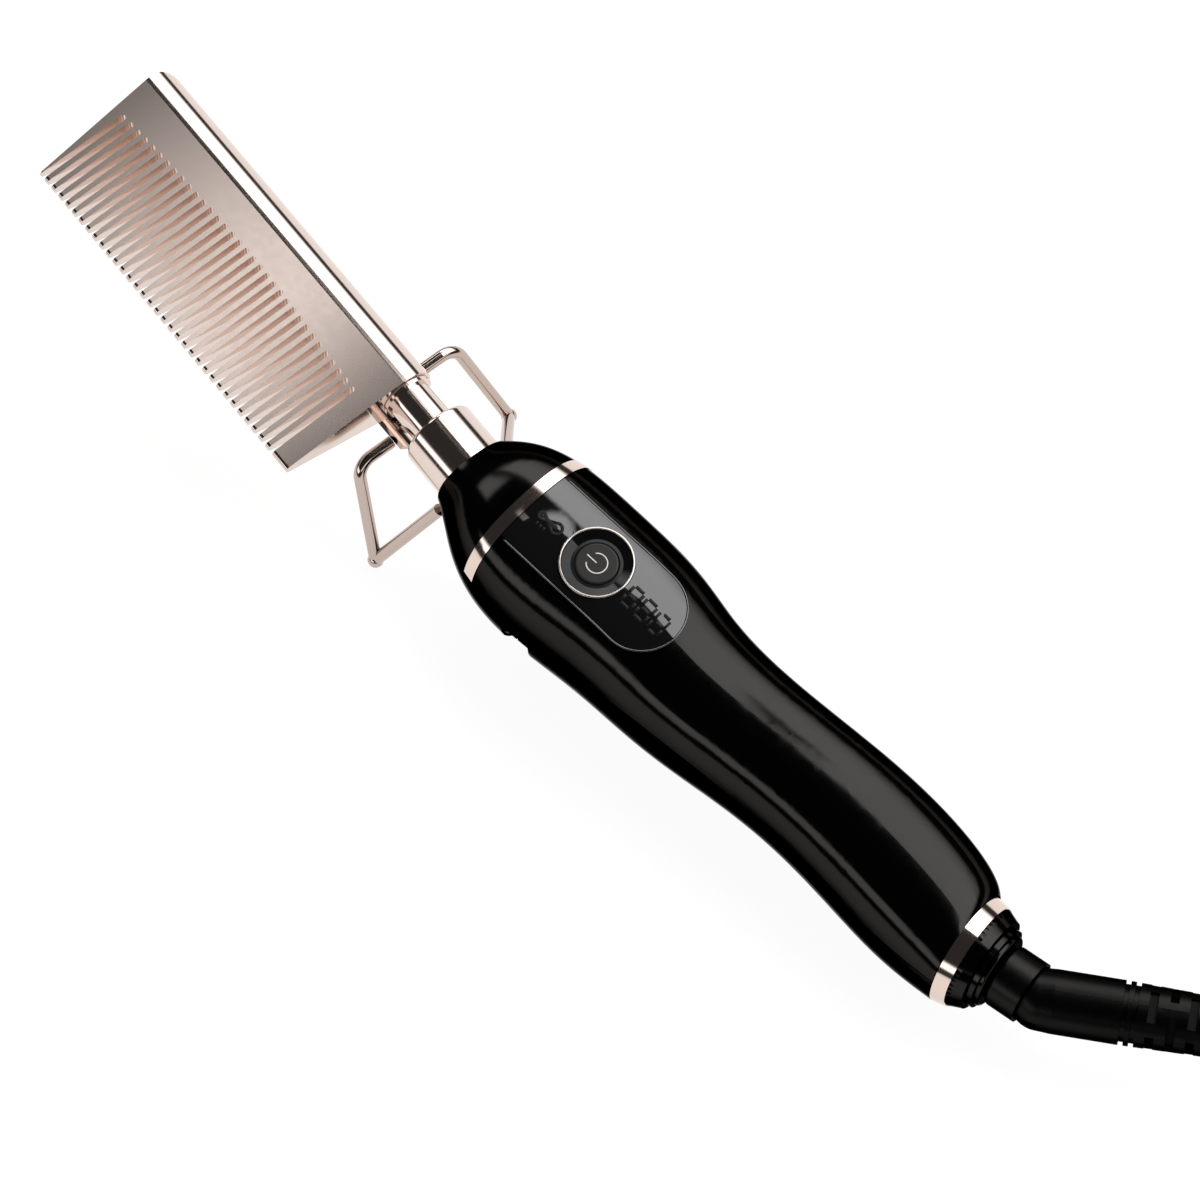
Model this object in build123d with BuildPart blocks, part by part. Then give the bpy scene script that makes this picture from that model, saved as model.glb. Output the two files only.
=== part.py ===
from build123d import *
import os
from collections import namedtuple
from math import atan2, copysign, cos, degrees, pi, radians, sin, tan

# Electric hot comb. Millimetres and degrees.
# Head pieces are drawn with the neck along X, the comb towards +X, the teeth towards +Y and the
# control panel facing +Z. The origin is the middle of the handle's front mouth. The handle, the
# tail and the boot are each drawn along X too, and are turned into place at the end.

# --- driving dimensions: comb ------------------------------------------------------------------
comb_length = 99.0
comb_reach = 33.5            # neck axis to the tips of the teeth
barrel_radius = 7.0
tooth_tip_radius = 1.1
top_slope = 4.0              # fall of the upper face towards the teeth
front_slant = 4.2            # how far the front edge leans back at the tips
rear_slant = 1.0
slot_count = 34
slot_pitch = 2.66
slot_width = 1.35
slot_mouth_width = 1.95
slot_mouth_depth = 3.2
first_slot = 5.2             # from the front edge
slot_root = 9.6              # neck axis to the closed end of the foremost slot
slot_bow = 1.9               # how much nearer the spine the middle slots reach
spine_corner_radius = 4.5
heater_length = 76.0
heater_radius = 3.4
sensor_length = 8.0
sensor_radius = 1.6
seat_gap = 0.1

# --- driving dimensions: neck ------------------------------------------------------------------
tube_radius = 5.25
tube_wall = 1.0
tube_visible = 11.5          # bare tube between the sleeve and the comb
tube_socket = 9.0            # how far the tube enters the comb's barrel
tube_tail = 13.0             # how far the tube reaches back into the handle
flange_radius = 6.3
flange_thickness = 1.2
sleeve_radius = 8.75
sleeve_wall = 1.5
sleeve_length = 13.5
sleeve_seat = 4.0            # how far the sleeve reaches back into the handle's mouth
sleeve_round = 1.0
bush_length = 11.0
bush_lip = 2.0

# --- driving dimensions: stand -----------------------------------------------------------------
wire_radius = 1.5
foot_depth = 31.0            # neck axis to the wire's middle at a foot
foot_spread = 23.4
foot_place = 12.7            # halfway between the feet, in front of the handle's mouth
loop_stagger = 5.0           # the right loop stands this far forward, the left one this far back
foot_ball_radius = 1.9
loop_front_place = 25.2
loop_front_side = 8.0
loop_front_depth = 6.8
loop_elbow_side = 17.6
loop_elbow_radius = 4.5
loop_rear_place = 0.7
loop_rear_side = 9.3
loop_rear_depth = 8.4
bracket_thickness = 1.2
bracket_gap = 0.1
bracket_half_angle = 50.0    # how far the bracket climbs each side, from straight down
ear_length = 7.0
ear_margin = 2.4             # how far an ear reaches behind the middle of its wire
tab_length = 11.0
tab_half_width = 6.0
waist_half_width = 5.0
waist_round = 2.0
lip_thickness = 1.2
bracket_screw_radius = 1.4
bracket_screw_head = 2.2
bracket_screw_grip = 3.0
bracket_screw_places = [(3.5, 0), (10.0, 0)]

# --- driving dimensions: handle ----------------------------------------------------------------
handle_yaw = 6.6             # the handle leans this far from the neck, away from the teeth
handle_length = 153.8        # mouth to the tail ring
mouth_radius = 10.0
palm_inset = 41.8            # from the tail ring
swell_inset = 19.8
hip_inset = 6.8
wall = 2.2
part_gap = 0.3
seam_level = 5.0             # joint between the top cover and the lower shell
front_ring_place = 16.8
front_ring_width = 3.2
front_ring_proud = 0.25
notch_front = 30.0           # where the cap's skirt starts to fall into the groove
notch_floor_start = 33.0
notch_floor_end = 37.0
notch_rear = 38.2
notch_depth = 2.6
notch_level = -1.0           # the groove runs round the underside below this level

# --- driving dimensions: control panel ---------------------------------------------------------
window_half_width = 9.75
window_end = 63.6            # mouth to the far end of the window
window_depth = 1.5
window_gap = 0.1
button_place = 40.0
trim_radius = 8.4
trim_width = 0.55
trim_height = 0.3
dish_depth = 0.8
bezel_seat = 1.4
button_radius = 4.9
button_gap = 0.2
button_travel = 0.8
button_height = 3.6
button_proud = 0.35
button_flange = 0.9
button_flange_height = 0.8
button_edge_round = 0.5
bezel_lip = 1.0
bezel_land = 0.7
stem_radius = 1.5
stem_gap = 0.9

# --- driving dimensions: electronics -----------------------------------------------------------
board_length = 84.0
board_width = 20.0
board_thickness = 1.6
board_front = 30.0
board_level = 5.5            # underside of the board
switch_size = 6.0
switch_height = 3.2
switch_knob = 0.8
board_corner = 2.0
post_inset = 4.0             # rear post's middle, from the board's end
front_post_place = 48.0
display_place = 56.0
display_length = 9.0
display_width = 15.0
display_top = 13.5
terminal_place = 36.0
terminal_length = 8.0
terminal_width = 9.0
terminal_height = 7.5
post_radius = 2.8
post_screw_radius = 1.3
post_screw_head = 2.3
post_screw_length = 9.0
lead_radius = 0.9
lead_spacing = 3.0

# --- driving dimensions: tail and swivel -------------------------------------------------------
tail_side = 2.2
tail_drop = 1.5
tail_yaw = 7.5
tail_pitch = 7.0             # the tail's end looks up by this much
tail_radius = 13.2
tail_ring_width = 3.3
tail_ring_taper = 0.6
rib_ring_width = 3.2
rib_ring_radius = 12.3
rib_ring_taper = 1.3
rib_count = 56
rib_depth = 0.45
rib_width = 0.7
step_ring_width = 1.5
step_ring_radius = 9.7
end_plate_width = 1.2
end_plate_radius = 8.7
spigot_radius = 8.9          # sleeve of the tail cap that carries the rings
spigot_length = 6.0          # how far it reaches into the handle
cap_cavity_radius = 6.6
cap_cavity_end = 5.6
bore_radius = 4.2
collar_gap = 0.3
swivel_clearance = 0.05
collar_radius = 7.3
collar_length = 10.0
collar_round = 1.2
collar_flange_radius = 6.2
collar_flange_width = 1.5
contact_radius = 1.8
contact_reach = 7.5          # how far the contact rod reaches past the tail ring's front
carrier_width = 2.5
ball_radius = 6.8            # round front of the boot
ball_gap = 0.3
collar_end_gap = 2.4         # the collar ends this far before the hinge

# --- driving dimensions: boot, cord and plug ---------------------------------------------------
boot_yaw = 26.0              # rest bend of the boot away from the tail's line
boot_radius = 7.0
boot_end_radius = 6.2
boot_length = 52.0
hinge_radius = 1.5
hinge_clearance = 0.05
hinge_half_length = 5.5
tongue_radius = 3.4
tongue_half_height = 1.8
tongue_gap = 0.3
tongue_swing = 1.0           # extra room round the tongue, for the tilt
boot_groove_place = 17.5
boot_groove_width = 1.1
boot_groove_depth = 0.8
boot_slot_start = 23.0
boot_slot_pitch = 4.3
boot_slot_width = 1.9
boot_slot_depth = 2.0
boot_slot_rings = 7
boot_slot_length = 7.0
boot_gap_length = 3.0        # the round front widens to the boot's full radius over this
boot_end_round = 0.6
cord_radius = 3.0
coil_mean_radius = 34.0
coil_columns = 3
coil_layers = 3
plug_length = 32.0
plug_width = 26.0
plug_height = 14.0
plug_tail_length = 14.0
plug_tail_radius = 4.5
pin_radius = 2.0
pin_length = 19.0
pin_spacing = 19.0
pin_seat = 6.0
pin_shank_radius = 1.5       # the part of a pin that is held in the plug
plug_corner = 4.0
plug_shoulder = 7.0
tie_arc = 14.0
tie_thickness = 1.0
tie_gap = 0.1
coil_place = (-248.0, -20.0)  # the coil's middle, in the finished part's own frame
coil_lift = tie_thickness + tie_gap + 0.1
cord_lead = 20.0             # the cord leaves the boot straight over this
arc_share = 0.45             # share of a run that an arc at its end takes

# --- the handle's outline: stations along it, each an oval ------------------------------------
Station = namedtuple("Station", "place side middle half_width half_height")
mouth = Station(0, 0, 0, mouth_radius, mouth_radius)
flare = Station(7.6, 0.4, -0.5, 15.0, 15.0)
shoulder = Station(13.3, 0.7, -1.2, 17.6, 17.9)
bell = Station(22.0, 1.0, -2.2, 19.5, 20.0)
crown = Station(41.0, 0.8, -2.0, 19.5, 20.3)
waist = Station(65.5, 1.2, -2.9, 17.3, 18.8)
grip = Station(87.0, 0.8, -2.2, 15.6, 17.2)
palm = Station(handle_length - palm_inset, -0.4, -0.4, 15.5, 16.6)
swell = Station(handle_length - swell_inset, 0.1, -1.6, 16.0, 17.0)
hip = Station(handle_length - hip_inset, 1.2, -2.0, 14.8, 15.2)
stations = [mouth, flare, shoulder, bell, crown, waist, grip, palm, swell, hip]
crown_power = 2.5            # above 2, the upper half is flatter than an ellipse
outline_points = 20

# --- places that follow from them --------------------------------------------------------------
comb_start = sleeve_length + tube_visible
comb_end = comb_start + comb_length
front_ring_end = front_ring_place + front_ring_width
rib_ring_start = tail_ring_width
step_ring_start = rib_ring_start + rib_ring_width
end_plate_start = step_ring_start + step_ring_width
collar_start = end_plate_start + end_plate_width + collar_gap
pivot_place = collar_start + collar_length
cord_width = 2 * cord_radius
very_wide = 60.0             # reaches past the handle on every side


def across(distance):
    """Plane across the long axis: local x towards +Y, local y up, facing +X."""
    return Plane(origin=(distance, 0, 0), x_dir=(0, 1, 0), z_dir=(1, 0, 0))


def flat_at(height):
    """Level plane at a height: local x along the long axis."""
    return Plane.XY.offset(height)


# --- comb head ---------------------------------------------------------------------------------
tip_across = comb_reach - tooth_tip_radius
tip_height = barrel_radius - tooth_tip_radius - tip_across * tan(radians(top_slope))
gap_length = comb_reach


def slot_outline():
    """Half of a gap between two teeth, from its round closed end to the flared mouth."""
    half = slot_width / 2
    mouth = slot_mouth_width / 2
    flare = comb_reach - slot_root - slot_mouth_depth
    with BuildSketch() as gap:
        with BuildLine():
            Polyline((-half, half), (-half, flare), (-mouth, gap_length), (mouth, gap_length))
            Polyline((mouth, gap_length), (half, flare), (half, half))
            ThreePointArc((half, half), (0, 0), (-half, half))
        make_face()
    return gap.sketch


def slot_places():
    """Closed ends of the slots, on a shallow arc that comes nearest the spine halfway."""
    for number in range(slot_count):
        share = number / (slot_count - 1)
        rise = slot_bow * sin(pi * share)
        yield (comb_end - first_slot - number * slot_pitch, slot_root - rise)


with BuildPart() as comb_plate:
    with BuildSketch(across(comb_start)):
        with BuildSketch(mode=Mode.PRIVATE) as profile:
            Circle(barrel_radius)
            with Locations((tip_across, tip_height)):
                Circle(tooth_tip_radius)
        add(make_hull(profile.edges(), mode=Mode.PRIVATE))
    extrude(amount=comb_length)
    with BuildSketch(flat_at(-very_wide)) as plan:
        with BuildLine():
            Polyline(
                (comb_start, -barrel_radius),
                (comb_end, -barrel_radius),
                (comb_end - front_slant, comb_reach),
                (comb_start - rear_slant, comb_reach),
                (comb_start, barrel_radius),
                close=True,
            )
        make_face()
        fillet(plan.vertices().sort_by(Axis.X)[-1], spine_corner_radius)
    extrude(amount=2 * very_wide, mode=Mode.INTERSECT)
    with BuildSketch(flat_at(-very_wide)):
        with Locations(*slot_places()):
            add(slot_outline())
    extrude(amount=2 * very_wide, mode=Mode.SUBTRACT)
    with BuildSketch(across(comb_start)):
        Circle(tube_radius + seat_gap / 2)
    extrude(amount=tube_socket, mode=Mode.SUBTRACT)
    with BuildSketch(across(comb_start)):
        Circle(heater_radius + seat_gap)
    extrude(amount=tube_socket + heater_length, mode=Mode.SUBTRACT)
    with BuildSketch(across(comb_start + tube_socket + heater_length)):
        Circle(sensor_radius + seat_gap)
    extrude(amount=sensor_length, mode=Mode.SUBTRACT)

with BuildPart() as heater_element:
    with BuildSketch(across(comb_start + tube_socket)):
        Circle(heater_radius)
    extrude(amount=heater_length)

with BuildPart() as temperature_sensor:
    with BuildSketch(across(comb_start + tube_socket + heater_length)):
        Circle(sensor_radius)
    extrude(amount=sensor_length - seat_gap)
    fillet(temperature_sensor.faces().sort_by(Axis.X)[-1].edges(), sensor_radius / 2)

# --- neck --------------------------------------------------------------------------------------
with BuildPart() as neck_tube:
    with BuildSketch(across(-tube_tail)):
        Circle(tube_radius)
    extrude(amount=tube_tail + comb_start + tube_socket - seat_gap)
    with BuildSketch(across(comb_start - flange_thickness)):
        Circle(flange_radius)
    extrude(amount=flange_thickness)
    fillet(neck_tube.edges().filter_by(GeomType.CIRCLE).sort_by(SortBy.RADIUS)[-1], flange_thickness / 3)
    with BuildSketch(across(-tube_tail)):
        Circle(tube_radius - tube_wall)
    extrude(amount=tube_tail + comb_start + tube_socket, mode=Mode.SUBTRACT)

with BuildPart() as insulating_bush:
    with BuildSketch(across(-tube_tail)):
        Circle(tube_radius - tube_wall - seat_gap)
    extrude(amount=bush_length)
    with BuildSketch(across(-tube_tail - bush_lip)):
        Circle(tube_radius)
    extrude(amount=bush_lip)
    with BuildSketch(across(-tube_tail - bush_lip)):
        with Locations((-lead_spacing / 2, 0), (lead_spacing / 2, 0)):
            Circle(lead_radius + seat_gap)
    extrude(amount=bush_length + bush_lip, mode=Mode.SUBTRACT)

with BuildPart() as neck_sleeve:
    with BuildSketch(across(-sleeve_seat)):
        Circle(sleeve_radius)
    extrude(amount=sleeve_seat + sleeve_length)
    fillet(neck_sleeve.faces().sort_by(Axis.X)[-1].edges(), sleeve_round)
    with BuildSketch(across(-sleeve_seat)):
        Circle(tube_radius + seat_gap / 2)
    extrude(amount=sleeve_seat + sleeve_length, mode=Mode.SUBTRACT)
    with BuildSketch(flat_at(-very_wide)):
        with Locations(*bracket_screw_places):
            Circle(bracket_screw_radius)
    extrude(amount=very_wide - sleeve_radius + bracket_screw_grip, mode=Mode.SUBTRACT)

# --- handle form -------------------------------------------------------------------------------
def oval_points(half_width, half_height):
    """Points of an oval whose upper half is flattened by crown_power."""
    for number in range(outline_points):
        turn = 2 * pi * number / outline_points
        power = crown_power if sin(turn) > 0 else 2
        side = copysign(abs(cos(turn)) ** (2 / power), cos(turn)) * half_width
        height = copysign(abs(sin(turn)) ** (2 / power), sin(turn)) * half_height
        yield (side, height)


def tail_plane():
    """The handle's end, turned towards the tail."""
    facing = Vector(1, 0, 0).rotate(Axis.Y, tail_pitch).rotate(Axis.Z, tail_yaw)
    sideways = Vector(0, 1, 0).rotate(Axis.Z, tail_yaw)
    return Plane(origin=(-handle_length, tail_side, -tail_drop), x_dir=sideways, z_dir=facing)


def station_plane(station):
    """Plane of one station. The mouth stays square to the neck."""
    turn = -handle_yaw if station is mouth else 0
    facing = Vector(1, 0, 0).rotate(Axis.Z, turn)
    sideways = Vector(0, 1, 0).rotate(Axis.Z, turn)
    return Plane(origin=(-station.place, station.side, station.middle), x_dir=sideways, z_dir=facing)


def handle_form(grow):
    """The handle's outer form, made larger on every side, or smaller when grow is negative."""
    with BuildPart() as form:
        for station in stations:
            with BuildSketch(station_plane(station)):
                with BuildLine():
                    Spline(*oval_points(station.half_width + grow, station.half_height + grow), periodic=True)
                make_face()
        with BuildSketch(tail_plane()):
            with BuildLine():
                Spline(*oval_points(tail_radius + grow, tail_radius + grow), periodic=True)
            make_face()
        loft()
    return form.part


def cut_from_side(*corners):
    """Solid that spans the whole width, from its outline seen from the side (x, z)."""
    with BuildPart() as block:
        with BuildSketch(Plane.XZ.offset(-very_wide)):
            with BuildLine():
                Polyline(*corners, close=True)
            make_face()
        extrude(amount=2 * very_wide)
    return block.part


def side_slab(start, end, low, high):
    """Everything between two distances behind the mouth and between two levels."""
    return cut_from_side((-start, low), (-end, low), (-end, high), (-start, high))


def notch_tool():
    """What the groove round the bell's underside takes away."""
    whole = (bell.half_width, (bell.half_height + crown.half_height) / 2)
    level = (bell.middle + crown.middle) / 2
    side = (bell.side + crown.side) / 2
    with BuildPart() as core:
        for distance, depth in ((notch_front, 0), (notch_floor_start, notch_depth)):
            with BuildSketch(Plane(origin=(-distance, side, level), x_dir=(0, 1, 0), z_dir=(1, 0, 0))):
                Ellipse(whole[0] - depth, whole[1] - depth)
        loft()
        with BuildSketch(Plane(origin=(-notch_rear, side, level), x_dir=(0, 1, 0), z_dir=(1, 0, 0))):
            Ellipse(whole[0] - notch_depth, whole[1] - notch_depth)
        extrude(amount=notch_rear - notch_floor_start)
    with BuildPart() as tool:
        add(side_slab(notch_front, notch_rear, -very_wide, notch_level))
        add(core.part, mode=Mode.SUBTRACT)
    return tool.part


handle_frame = Location((0, 0, 0), (0, 0, handle_yaw))
outer_form = handle_form(0)
inner_form = handle_form(-wall)
narrow_form = handle_form(-wall - notch_depth)
notch = notch_tool()
tail_stop = handle_length - wall
cap_bulkhead = sleeve_seat + wall
skirt_end = (notch_floor_start + notch_floor_end) / 2
panel_top = crown.middle + crown.half_height

# The cavity is narrower under the groove, where the skin steps inwards.
with BuildPart() as cavity:
    add(inner_form)
    add(side_slab(cap_bulkhead, tail_stop, -very_wide, very_wide), mode=Mode.INTERSECT)
    add(side_slab(notch_front - wall, notch_rear + wall, -very_wide, notch_level + wall), mode=Mode.SUBTRACT)
with BuildPart() as narrow_cavity:
    add(narrow_form)
    add(side_slab(notch_front - wall, notch_rear + wall, -very_wide, notch_level + wall), mode=Mode.INTERSECT)
with BuildPart() as handle_skin:
    add(outer_form)
    add(cavity.part, mode=Mode.SUBTRACT)
    add(narrow_cavity.part, mode=Mode.SUBTRACT)
    add(notch, mode=Mode.SUBTRACT)

with BuildPart() as neck_passage:
    with BuildSketch(across(-sleeve_seat)):
        Circle(sleeve_radius + seat_gap / 2)
    extrude(amount=very_wide)
    with BuildSketch(across(-sleeve_seat)):
        Circle(tube_radius + seat_gap / 2)
    extrude(amount=-very_wide)

with BuildPart() as front_cap:
    add(handle_skin.part)
    add(
        cut_from_side(
            (very_wide, -very_wide),
            (-skirt_end, -very_wide),
            (-skirt_end, seam_level - part_gap),
            (-front_ring_place, seam_level - part_gap),
            (-front_ring_place, very_wide),
            (very_wide, very_wide),
        ),
        mode=Mode.INTERSECT,
    )
    add(handle_frame.inverse() * neck_passage.part, mode=Mode.SUBTRACT)

with BuildPart() as front_ring:
    add(handle_form(front_ring_proud))
    add(side_slab(front_ring_place + part_gap / 2, front_ring_end, seam_level, very_wide), mode=Mode.INTERSECT)
    add(inner_form, mode=Mode.SUBTRACT)

with BuildPart() as lower_half:
    add(handle_skin.part)
    add(
        side_slab(skirt_end + part_gap, handle_length + very_wide, -very_wide, seam_level - part_gap / 2),
        mode=Mode.INTERSECT,
    )


# --- control panel -----------------------------------------------------------------------------
def window_outline(grow):
    """U-shaped outline of the window, seen from above."""
    half = window_half_width + grow
    start = front_ring_end + part_gap / 2 - grow
    with BuildSketch() as outline:
        with BuildLine():
            Polyline((-window_end + window_half_width, -half), (-start, -half), (-start, half))
            Line((-start, half), (-window_end + window_half_width, half))
            CenterArc((-window_end + window_half_width, 0), half, 90, 180)
        make_face()
    return outline.sketch


def panel_plate(grow, thickness):
    """Slab that follows the handle's crown inside the window's outline."""
    with BuildPart() as plate:
        with BuildSketch(Plane(origin=(0, crown.side, seam_level))):
            add(window_outline(grow))
        extrude(amount=very_wide)
        add(outer_form, mode=Mode.INTERSECT)
        add(handle_form(-thickness), mode=Mode.SUBTRACT)
    return plate.part


button_axis = Axis((-button_place, crown.side, 0), (0, 0, 1))
button_side = Plane(origin=(-button_place, crown.side, 0), x_dir=(1, 0, 0), z_dir=(0, -1, 0))
trim_top = panel_top + trim_height
bezel_inner = button_radius + button_gap
bezel_outer = trim_radius - trim_width
well_floor = panel_top - button_height
button_low = well_floor + button_flange_height

with BuildPart() as tail_hole:
    with BuildSketch(tail_plane()):
        Circle(spigot_radius + seat_gap)
    extrude(amount=spigot_length + wall, both=True)

with BuildPart() as top_cover:
    add(handle_skin.part)
    add(tail_hole.part, mode=Mode.SUBTRACT)
    add(
        side_slab(front_ring_end + part_gap / 2, handle_length + very_wide, seam_level + part_gap / 2, very_wide),
        mode=Mode.INTERSECT,
    )
    add(panel_plate(window_gap, window_depth + window_gap), mode=Mode.SUBTRACT)
    with BuildSketch(Plane(origin=(-button_place, crown.side, seam_level))):
        Circle(trim_radius + window_gap)
    extrude(amount=very_wide, mode=Mode.SUBTRACT)
    with BuildSketch(Plane(origin=(-display_place, crown.side, board_level))):
        Rectangle(display_length + 2 * part_gap, display_width + 2 * part_gap)
    extrude(amount=very_wide, mode=Mode.SUBTRACT)

with BuildPart() as control_window:
    add(panel_plate(0, window_depth))
    with BuildSketch(Plane(origin=(-button_place, crown.side, seam_level))):
        Circle(trim_radius + window_gap)
    extrude(amount=very_wide, mode=Mode.SUBTRACT)


def turned(*corners):
    """Piece turned about the button's axis, from its (radius, level) corners."""
    with BuildPart() as piece:
        with BuildSketch(button_side):
            with BuildLine():
                Polyline(*corners, close=True)
            make_face()
        revolve(axis=button_axis)
    return piece.part


with BuildPart() as button_trim_ring:
    add(
        turned(
            (bezel_outer, well_floor + bezel_seat),
            (trim_radius, well_floor + bezel_seat),
            (trim_radius, trim_top),
            (bezel_outer, trim_top),
        )
    )
    fillet(button_trim_ring.faces().sort_by(Axis.Z)[-1].edges(), trim_width / 3)

with BuildPart() as button_bezel:
    add(
        turned(
            (bezel_inner, well_floor + bezel_seat),
            (button_radius + button_flange + button_gap, well_floor + bezel_seat),
            (button_radius + button_flange + button_gap, well_floor - bezel_lip),
            (trim_radius, well_floor - bezel_lip),
            (trim_radius, well_floor + bezel_seat - part_gap / 3),
            (bezel_outer - part_gap / 3, well_floor + bezel_seat),
            (bezel_outer - part_gap / 3, trim_top - trim_height),
            (bezel_inner + bezel_land, panel_top - dish_depth),
            (bezel_inner, panel_top - dish_depth),
        )
    )

with BuildPart() as power_button:
    with BuildSketch(Plane(origin=(-button_place, crown.side, button_low - button_flange_height))):
        Circle(button_radius + button_flange)
    extrude(amount=button_flange_height)
    with BuildSketch(Plane(origin=(-button_place, crown.side, button_low))):
        Circle(button_radius)
    extrude(amount=panel_top - dish_depth + button_proud - button_low)
    fillet(power_button.faces().sort_by(Axis.Z)[-1].edges(), button_edge_round)
    with BuildSketch(Plane(origin=(-button_place, crown.side, board_level + board_thickness + switch_height + stem_gap))):
        Circle(stem_radius)
    extrude(until=Until.NEXT)

# --- electronics -------------------------------------------------------------------------------
board_top = board_level + board_thickness
board_end = board_front + board_length
board_middle = (board_front + board_end) / 2
post_places = [(-front_post_place, crown.side), (-board_end + post_inset, crown.side)]

with BuildPart() as circuit_board:
    with BuildSketch(flat_at(board_level)):
        with Locations((-board_middle, crown.side)):
            RectangleRounded(board_length, board_width, board_corner)
        with Locations(*post_places):
            Circle(post_screw_radius + seat_gap, mode=Mode.SUBTRACT)
    extrude(amount=board_thickness)

with BuildPart() as tact_switch:
    with BuildSketch(Plane(origin=(-button_place, crown.side, board_top))):
        Rectangle(switch_size, switch_size)
    extrude(amount=switch_height - switch_knob)
    with BuildSketch(Plane(origin=(-button_place, crown.side, board_top + switch_height - switch_knob))):
        Circle(stem_radius)
    extrude(amount=switch_knob)

with BuildPart() as display_module:
    with BuildSketch(Plane(origin=(-display_place, crown.side, board_top))):
        Rectangle(display_length, display_width)
    extrude(amount=display_top - board_top)

with BuildPart() as terminal_block:
    with BuildSketch(flat_at(board_level - terminal_height)):
        with Locations((-terminal_place - terminal_length / 2, 0)):
            Rectangle(terminal_length, terminal_width)
    extrude(amount=terminal_height)

with BuildPart() as heater_leads:
    with BuildSketch(across(-terminal_place)):
        with Locations((-lead_spacing / 2, 0), (lead_spacing / 2, 0)):
            Circle(lead_radius)
    extrude(amount=terminal_place + comb_start + tube_socket)

with BuildPart() as shell_posts:
    with BuildSketch(flat_at(board_level)):
        with Locations(*post_places):
            Circle(post_radius)
    extrude(amount=-very_wide)
    add(outer_form, mode=Mode.INTERSECT)
    with BuildSketch(flat_at(board_level)):
        with Locations(*post_places):
            Circle(post_screw_radius)
    extrude(amount=-post_screw_length, mode=Mode.SUBTRACT)

with BuildPart() as board_screws:
    with BuildSketch(flat_at(board_top)):
        with Locations(*post_places):
            Circle(post_screw_radius)
    extrude(amount=-post_screw_length)
    with BuildSketch(flat_at(board_top)):
        with Locations(*post_places):
            Circle(post_screw_head)
    extrude(amount=post_screw_radius)

with BuildPart() as lower_shell:
    add(lower_half.part)
    add(shell_posts.part)
    add(tail_hole.part, mode=Mode.SUBTRACT)

# --- tail (drawn with the tail ring's front at zero) -------------------------------------------
def ring_from(start, width, front_radius, rear_radius, inner_radius):
    """Tapered ring about the long axis, running backwards from a distance."""
    with BuildPart() as ring:
        with BuildSketch(across(-start)):
            Circle(front_radius)
        with BuildSketch(across(-start - width)):
            Circle(rear_radius)
        loft()
        with BuildSketch(across(-start)):
            Circle(inner_radius)
        extrude(amount=-width, mode=Mode.SUBTRACT)
    return ring.part


ring_bore = spigot_radius + seat_gap / 2

with BuildPart() as tail_ring:
    add(ring_from(0, tail_ring_width, tail_radius, tail_radius - tail_ring_taper, ring_bore))

with BuildPart() as ribbed_ring:
    add(ring_from(rib_ring_start, rib_ring_width, rib_ring_radius, rib_ring_radius - rib_ring_taper, ring_bore))
    with BuildSketch(across(-rib_ring_start)):
        with PolarLocations(rib_ring_radius, rib_count):
            Rectangle(2 * rib_depth, rib_width)
    extrude(amount=-rib_ring_width, mode=Mode.SUBTRACT)

with BuildPart() as tail_cap:
    with BuildSketch(across(spigot_length)):
        Circle(spigot_radius)
    extrude(amount=-spigot_length - step_ring_start)
    with BuildSketch(across(-step_ring_start)):
        Circle(step_ring_radius)
    extrude(amount=-step_ring_width)
    with BuildSketch(across(-end_plate_start)):
        Circle(end_plate_radius)
    extrude(amount=-end_plate_width)
    fillet(tail_cap.faces().sort_by(Axis.X)[0].edges(), end_plate_width / 2)
    with BuildSketch(across(spigot_length)):
        Circle(cap_cavity_radius)
    extrude(amount=-spigot_length - cap_cavity_end, mode=Mode.SUBTRACT)
    with BuildSketch(across(0)):
        Circle(bore_radius)
    extrude(amount=-very_wide, mode=Mode.SUBTRACT)

with BuildPart() as contact_carrier:
    with BuildSketch(across(spigot_length)):
        Circle(cap_cavity_radius)
        Circle(contact_radius, mode=Mode.SUBTRACT)
    extrude(amount=-carrier_width)

with BuildPart() as contact_rod:
    with BuildSketch(across(spigot_length)):
        Circle(contact_radius)
    extrude(amount=-spigot_length - contact_reach)
    fillet(contact_rod.faces().sort_by(Axis.X)[0].edges(), contact_radius / 2)

flange_start = cap_cavity_end - collar_gap - collar_flange_width
collar_end = pivot_place - collar_end_gap

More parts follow.
